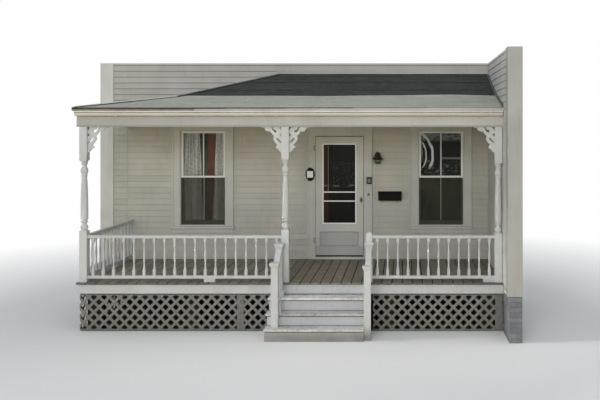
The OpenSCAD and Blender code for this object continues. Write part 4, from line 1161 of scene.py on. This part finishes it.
hip_rolls, crest, high_crest = blank(), blank(), blank()
for side in ("front", "left"):
    track = [marks(on_roof(side, 0.0, down, 12)) for down in (0.02, 1.0, 1.985)]
    for a, b, middle in zip(track, track[1:], (high_crest, crest)):
        run = (b - a).normalized()
        away = Vector((-run.y, run.x, 0)).normalized()
        if (side == "front") != (away.y < 0):
            away = -away
        for reach, radius, whole in ((50, 6, hip_rolls), (9, 9, middle)):
            drop = 0.30 * reach * abs(away.y if side == "front" else away.x)
            slide = away * reach - Vector((0, 0, drop))
            join(whole, rod(a + slide, b + slide, radius, 8), 0.4)
piece("hip_crest", crest, gutter_paint)
piece("hip_crest_high", high_crest, lead_flashing)
piece("hip_rolls", hip_rolls, dark_roofing)

cards = blank()
card_count, card_tall, card_wide = 15, 40, 28
for step in range(card_count):
    downs = step / card_count * 2, min((step + 1.25) / card_count * 2, 2.0)
    a, b = (marks(on_roof("front", 1.0, down, 6)) for down in downs)
    for x, tall, run in ((side_x - 5 - step % 2, card_tall, -2), (side_x - 34, 2.5, card_wide)):
        profile = [(x, a.y, a.z), (x, b.y, b.z), (x, b.y, b.z + tall), (x, a.y, a.z + tall)]
        join(cards, moulding(profile, (run, 0, 0)))
piece("wall_cards", cards, lead_flashing)

# %% [markdown]
# The gutter hangs from straps that end in dark feet, and is joined by a sleeve, which is a profile
# of the gutter drawn a little larger. The beam behind it wears a thin frieze board in two lengths
# that meet over the left bay, and a bead under its lower edge catches the light.

# %% Gutter straps and frieze
straps, sleeve, feet = blank(), blank(), blank()
beam_face, gutter_low, gutter_high, gutter_deep = -2100, 2525, 2603, 112
gutter_front = beam_face - gutter_deep
for x in range(610, 6400, 610):
    lay(straps, (x - 11, gutter_front - 2, gutter_high - 1),
        (x + 11, beam_face, gutter_high + 1), 0.6)
    lay(straps, (x - 11, gutter_front - 2.5, gutter_high - 24),
        (x + 11, gutter_front - 0.5, gutter_high), 0.6)
    lay(feet, (x - 13, beam_face - 12, gutter_low - 13), (x + 13, beam_face - 1, gutter_low + 1), 1)

sleeve_x, sleeve_wide, sleeve_low = 6100, 52, gutter_low - 2
outside = [(beam_face, sleeve_low), (beam_face - 56, sleeve_low)]
for turn in (math.radians(15 * step) for step in range(1, 7)):
    outside.append((beam_face - 2 - gutter_deep * (0.5 + 0.34 * math.sin(turn)),
                    sleeve_low + 78 * (0.5 - 0.5 * math.cos(turn))))
outside += [(beam_face - 96, gutter_low + 47), (gutter_front - 2.5, gutter_low + 57),
            (gutter_front - 2.5, gutter_low + 78), (gutter_front + 2, gutter_low + 78)]
inside = [(y + 3.5, z + 2.5) for y, z in reversed(outside[1:-2])]
inside.append((beam_face, gutter_low + 0.5))
join(sleeve, moulding([(sleeve_x, y, z) for y, z in outside + inside], (sleeve_wide, 0, 0)), 0.8)
piece("gutter_straps", straps, gutter_paint)
piece("strap_feet", feet, dark_metal)
piece("gutter_sleeve", sleeve, gutter_paint)

frieze = blank()
bead_low, bead_high = 2363, 2381
for a, b in ((6, 1604), (1607, 6468)):
    lay(frieze, (a, beam_face - 4, bead_high + 3), (b, beam_face, gutter_low - 2), 1)
lay(frieze, (2, beam_face - 12, bead_low), (6470, beam_face, bead_high), 5, 2)
lay(frieze, (-11, beam_face, bead_low), (0, -14, bead_high), 5, 2)
piece("beam_frieze", frieze, beam_paint)

# %% [markdown]
# A dark strip runs along the eave, thinner towards the right, and down the free side. At the left
# end and down the side it is a dark metal drip edge; further right it is a painted shadow under the
# roof's edge. At the left the edge board under it has lost its paint and shows bare brown wood.

# %% Drip edge, painted shadow line and bare edge board
drip_and_shadow, bare_edge = blank(), blank()
drip_face, drip_low, drip_high, bare_low = eave_y - 15, 2633, 2651, 2604
# Drip edge at the left and down the free side; right of the bare board the same strip is a painted
# shadow under the roof's edge.
for low, high in (
        ((-33, drip_face, drip_low), (2300, eave_y, drip_high)),
        ((2300, drip_face, drip_low + 3), (3200, eave_y, drip_high)),
        ((3200, drip_face, drip_low + 6), (4200, eave_y, drip_high)),
        ((-34, eave_y, drip_low), (eave_left, -4, drip_high)),
        ((4200, drip_face + 0.5, drip_low + 10), (5300, eave_y, drip_high - 1)),
        ((5300, drip_face + 1.5, drip_low + 12.5), (6474, eave_y, drip_high - 1))):
    lay(drip_and_shadow, low, high, 1)
lay(bare_edge, (-32, drip_face + 1.5, bare_low), (1812, eave_y, drip_low), 1)
lay(bare_edge, (-33, eave_y, bare_low), (eave_left, -4, drip_low), 1)
piece("bare_edge", bare_edge, brown_wood)
piece("drip_edge_and_shadow", drip_and_shadow, dark_tin_and_shadow)

# %% [markdown]
# A gray board stands behind the right end of each front lattice panel and closes the gap there.

# %% Boards behind the lattice
backing = blank()
for a, b in ((2425, 2529), (6350, 6454)):
    lay(backing, (a, -2079, -708), (b, -2062, -204), 2)
piece("lattice_backing", backing, gray_board)

# %% [markdown]
# The ceiling is beaded board. Only the thin beads are added, since the flat board is a CAD node.
# The deck gets its nails, two to a board at each joist, each one a flat head of eight sides.

# %% Ceiling beads and deck nails
beading = blank()
bead_step, bead_wide, bead_deep = 82, 9, 3
for y in range(-1960, -30, bead_step):
    lay(beading, (110, y, ceiling - bead_deep), (6462, y + bead_wide, ceiling), 1.4, tone=0.5)
piece("ceiling_beads", beading, ceiling_paint)

nails = blank()
joist_front, joist_back, joist_count, nail_in = -2080, -45, 5, 28
joists = [joist_front + row * (joist_back - joist_front) / (joist_count - 1) + 22
          for row in range(joist_count)]
for count in range(board_count):
    for y in joists:
        for side in (nail_in, board_step - board_gap - nail_in):
            x = count * board_step + side + dice.uniform(-3, 3)
            join(nails, knob((x, y + dice.uniform(-6, 6), 0.4), 3.6, 0.9, "z", 8))
piece("deck_nails", nails, dark_metal)

# %% [markdown]
# The treads are worn: their noses are rounded, and they replace the square CAD treads in the same
# place. Paint has flaked along their edges in small dark chips. A thin dark strip on each riser
# just under the nose is a painted shadow, and one at the foot of each riser is painted shade in
# that corner.

# %% Worn treads
treads, flakes = blank(), blank()
steps_left, steps_right, nose, thick = steps_middle - 722, steps_middle + 722, 28, 38
flake_left, flake_right = steps_left + 20, steps_right - 4
for top, rear, riser in ((-179, -2105, -2320), (-371, -2320, -2495), (-555, -2495, -2670)):
    a = at(steps_left, riser - nose, top - thick)
    shape = block((steps_left, riser - nose, top - thick), (steps_right, rear, top))
    front_edges = [edge for edge in shape.edges
                   if all(abs(point.co.y - a.y) < 1e-6 for point in edge.verts)
                   or all(abs(point.co.x - a.x) < 1e-6 for point in edge.verts)]
    bmesh.ops.bevel(shape, geom=front_edges, offset=0.009, affect="EDGES", segments=3,
                    profile=0.5, material=-1)
    join(treads, shape)
    # Painted shadow: a dark strip on the riser just under the nose.
    lay(flakes, (flake_left, riser - 5, top - thick - 13), (flake_right, riser, top - thick), 1)
    # Painted shade: a dark strip in the corner at the foot of the riser behind the tread.
    lay(flakes, (flake_left, rear - 4, top), (flake_right, rear, top + 6), 1)
    for chip in range(26):
        x, long = dice.uniform(flake_left, flake_right - 40), dice.uniform(8, 46)
        y = rear - 4 if chip % 2 else riser - nose + 1
        lay(flakes, (x, y - dice.uniform(4, 11), top - 1), (x + long, y, top + 0.6), 0)
piece("worn_treads", treads, tread_paint, replaced=("step_treads",))
piece("tread_chips_and_shade", flakes, chips_and_shade)

# %% [markdown]
# The small fittings on the wall come last. The plaque gets a raised rim round a blank plate: a
# circle spun round the middle, then drawn out to an oval.

# %% Plaque
plaque, plaque_wide, plaque_tall = (3284, -43, 1517), 166, 240
plaque_rim, plate = blank(), blank()
bmesh.ops.create_circle(plaque_rim, segments=12, radius=0.008,
                        matrix=Matrix.Translation(at(plaque[0] + 75, *plaque[1:])))
bmesh.ops.spin(plaque_rim, geom=plaque_rim.verts[:] + plaque_rim.edges[:], cent=at(*plaque),
               axis=(0, 1, 0), angle=2 * math.pi, steps=48, use_merge=True, use_duplicate=False)
for point in plaque_rim.verts:
    point.co.z = at(*plaque).z + (point.co.z - at(*plaque).z) * plaque_tall / plaque_wide
bmesh.ops.recalc_face_normals(plaque_rim, faces=plaque_rim.faces[:])
piece("plaque_rim", plaque_rim, black_metal)
lay(plate, (3232, -46.5, 1458), (3336, -44.8, 1576), 1)
piece("plaque_plate", plate, bead_paint)

# %% [markdown]
# The lantern's globe sits in a cage of two rings and six bent wires under its finial. The mailbox
# has a lid hinge, paper hooks and a catch, the keypad its keys, and below it is the bell's button.

# %% Lantern guards, mailbox fittings and keys
guards = blank()
lantern_x, lantern_y, lantern_z = 4492, -120, 1790
upper_ring, lower_ring = (61, -4), (55, -34)


def round_globe(degrees, reach, height):
    """A point at a bearing and a reach from the globe's middle."""
    turn = math.radians(degrees)
    return (lantern_x + reach * math.cos(turn), lantern_y + reach * math.sin(turn),
            lantern_z + height)


for ring in (lower_ring, upper_ring):
    chain(guards, [round_globe(bearing, *ring) for bearing in range(0, 361, 15)], 3.4, 6)
for bearing in range(30, 390, 60):
    wire = ((62, 22), upper_ring, lower_ring, (40, -58), (14, -72))
    chain(guards, [round_globe(bearing, *bend) for bend in wire], 3.0, 6)
join(guards, knob((lantern_x, lantern_y, lantern_z + 137), 7, 20, "z", 20, 2))
join(guards, knob((lantern_x, lantern_y, lantern_z + 127), 10, 5, "z", 20))
for x in (-30, 30):
    join(guards, knob((lantern_x + x, -15, lantern_z + 84), 4, 3, "y", 12))
piece("lantern_guards", guards, lantern_copper)

box_fittings = blank()
join(box_fittings, rod((4510, -26, 1209), (4907, -26, 1209), 4, 10))
for x in (4570, 4846):
    chain(box_fittings, [(x, -60, 1050), (x, -60, 1018), (x, -98, 1010), (x, -104, 1030)], 3, 8)
lay(box_fittings, (4690, -111, 1128), (4727, -106, 1140), 2)
piece("mailbox_fittings", box_fittings, black_metal)

keys = blank()
pad_x, pad_z, key_step = 3377 + 860 + 154 * 0.66, 1407, 18
for column in (-1, 0, 1):
    for row in range(4):
        x, z = pad_x + column * key_step, pad_z + 26 - row * key_step
        lay(keys, (x - 8, -59, z - 7), (x + 8, -56, z + 7))
join(keys, knob((pad_x - 9, -47, pad_z - 253), 7, 3, "y", 20))
piece("keypad_keys", keys, key_gray)

# %% [markdown]
# The floor of the studio is one wide pale plane. It isn't part of the porch, and it keeps the
# porch's soft shadow. The camera sees it white, but the light that it throws back is dim and
# yellowish, and under the deck it is almost black, a painted shade that keeps the openings of the
# lattice dark.

# %% Studio floor
ground, floor_half = bmesh.new(), 60.0
bmesh.ops.create_grid(ground, x_segments=1, y_segments=1, size=floor_half)
floor_mesh = bpy.data.meshes.new("studio_floor")
ground.to_mesh(floor_mesh)
ground.free()
floor_finish, tree, shader, place = finish("studio_floor", 0.9)
seen = showing(tree)
pale = tint(tree, noise(tree, place, 0.5), (0.74, 0.74, 0.73), (0.78, 0.78, 0.77))
where = axes(tree, place)
first, last = at(40, -2060, 0), at(6450, 0, 0)
under_deck = times(tree, reckon(tree, "GREATER_THAN", where["X"], first.x),
                   reckon(tree, "LESS_THAN", where["X"], last.x),
                   reckon(tree, "GREATER_THAN", where["Y"], first.y),
                   reckon(tree, "LESS_THAN", where["Y"], last.y))
open_floor = tint(tree, seen, (0.84, 0.74, 0.48), pale)
# Painted shade: under the deck the floor is almost black, for the darkness there.
feed(tree, shader, Base_Color=tint(tree, under_deck, open_floor, (0.012, 0.011, 0.009)))
away = on_vector(tree, "LENGTH", place)["Value"]
glow = put(tree, "ShaderNodeEmission", Color=(1, 1, 1), Strength=1.0)
mixed = put(tree, "ShaderNodeMixShader", Fac=times(tree, between(tree, away, 5.0, 11.0), seen),
            i1=shader.outputs[0], i2=glow.outputs[0])
put(tree, "ShaderNodeOutputMaterial", Surface=mixed.outputs[0]).is_active_output = True
floor_mesh.materials.append(floor_finish)
studio_floor = bpy.data.objects.new("studio_floor", floor_mesh)
bpy.context.scene.collection.objects.link(studio_floor)
print("floor", floor_half * 2, "m wide")
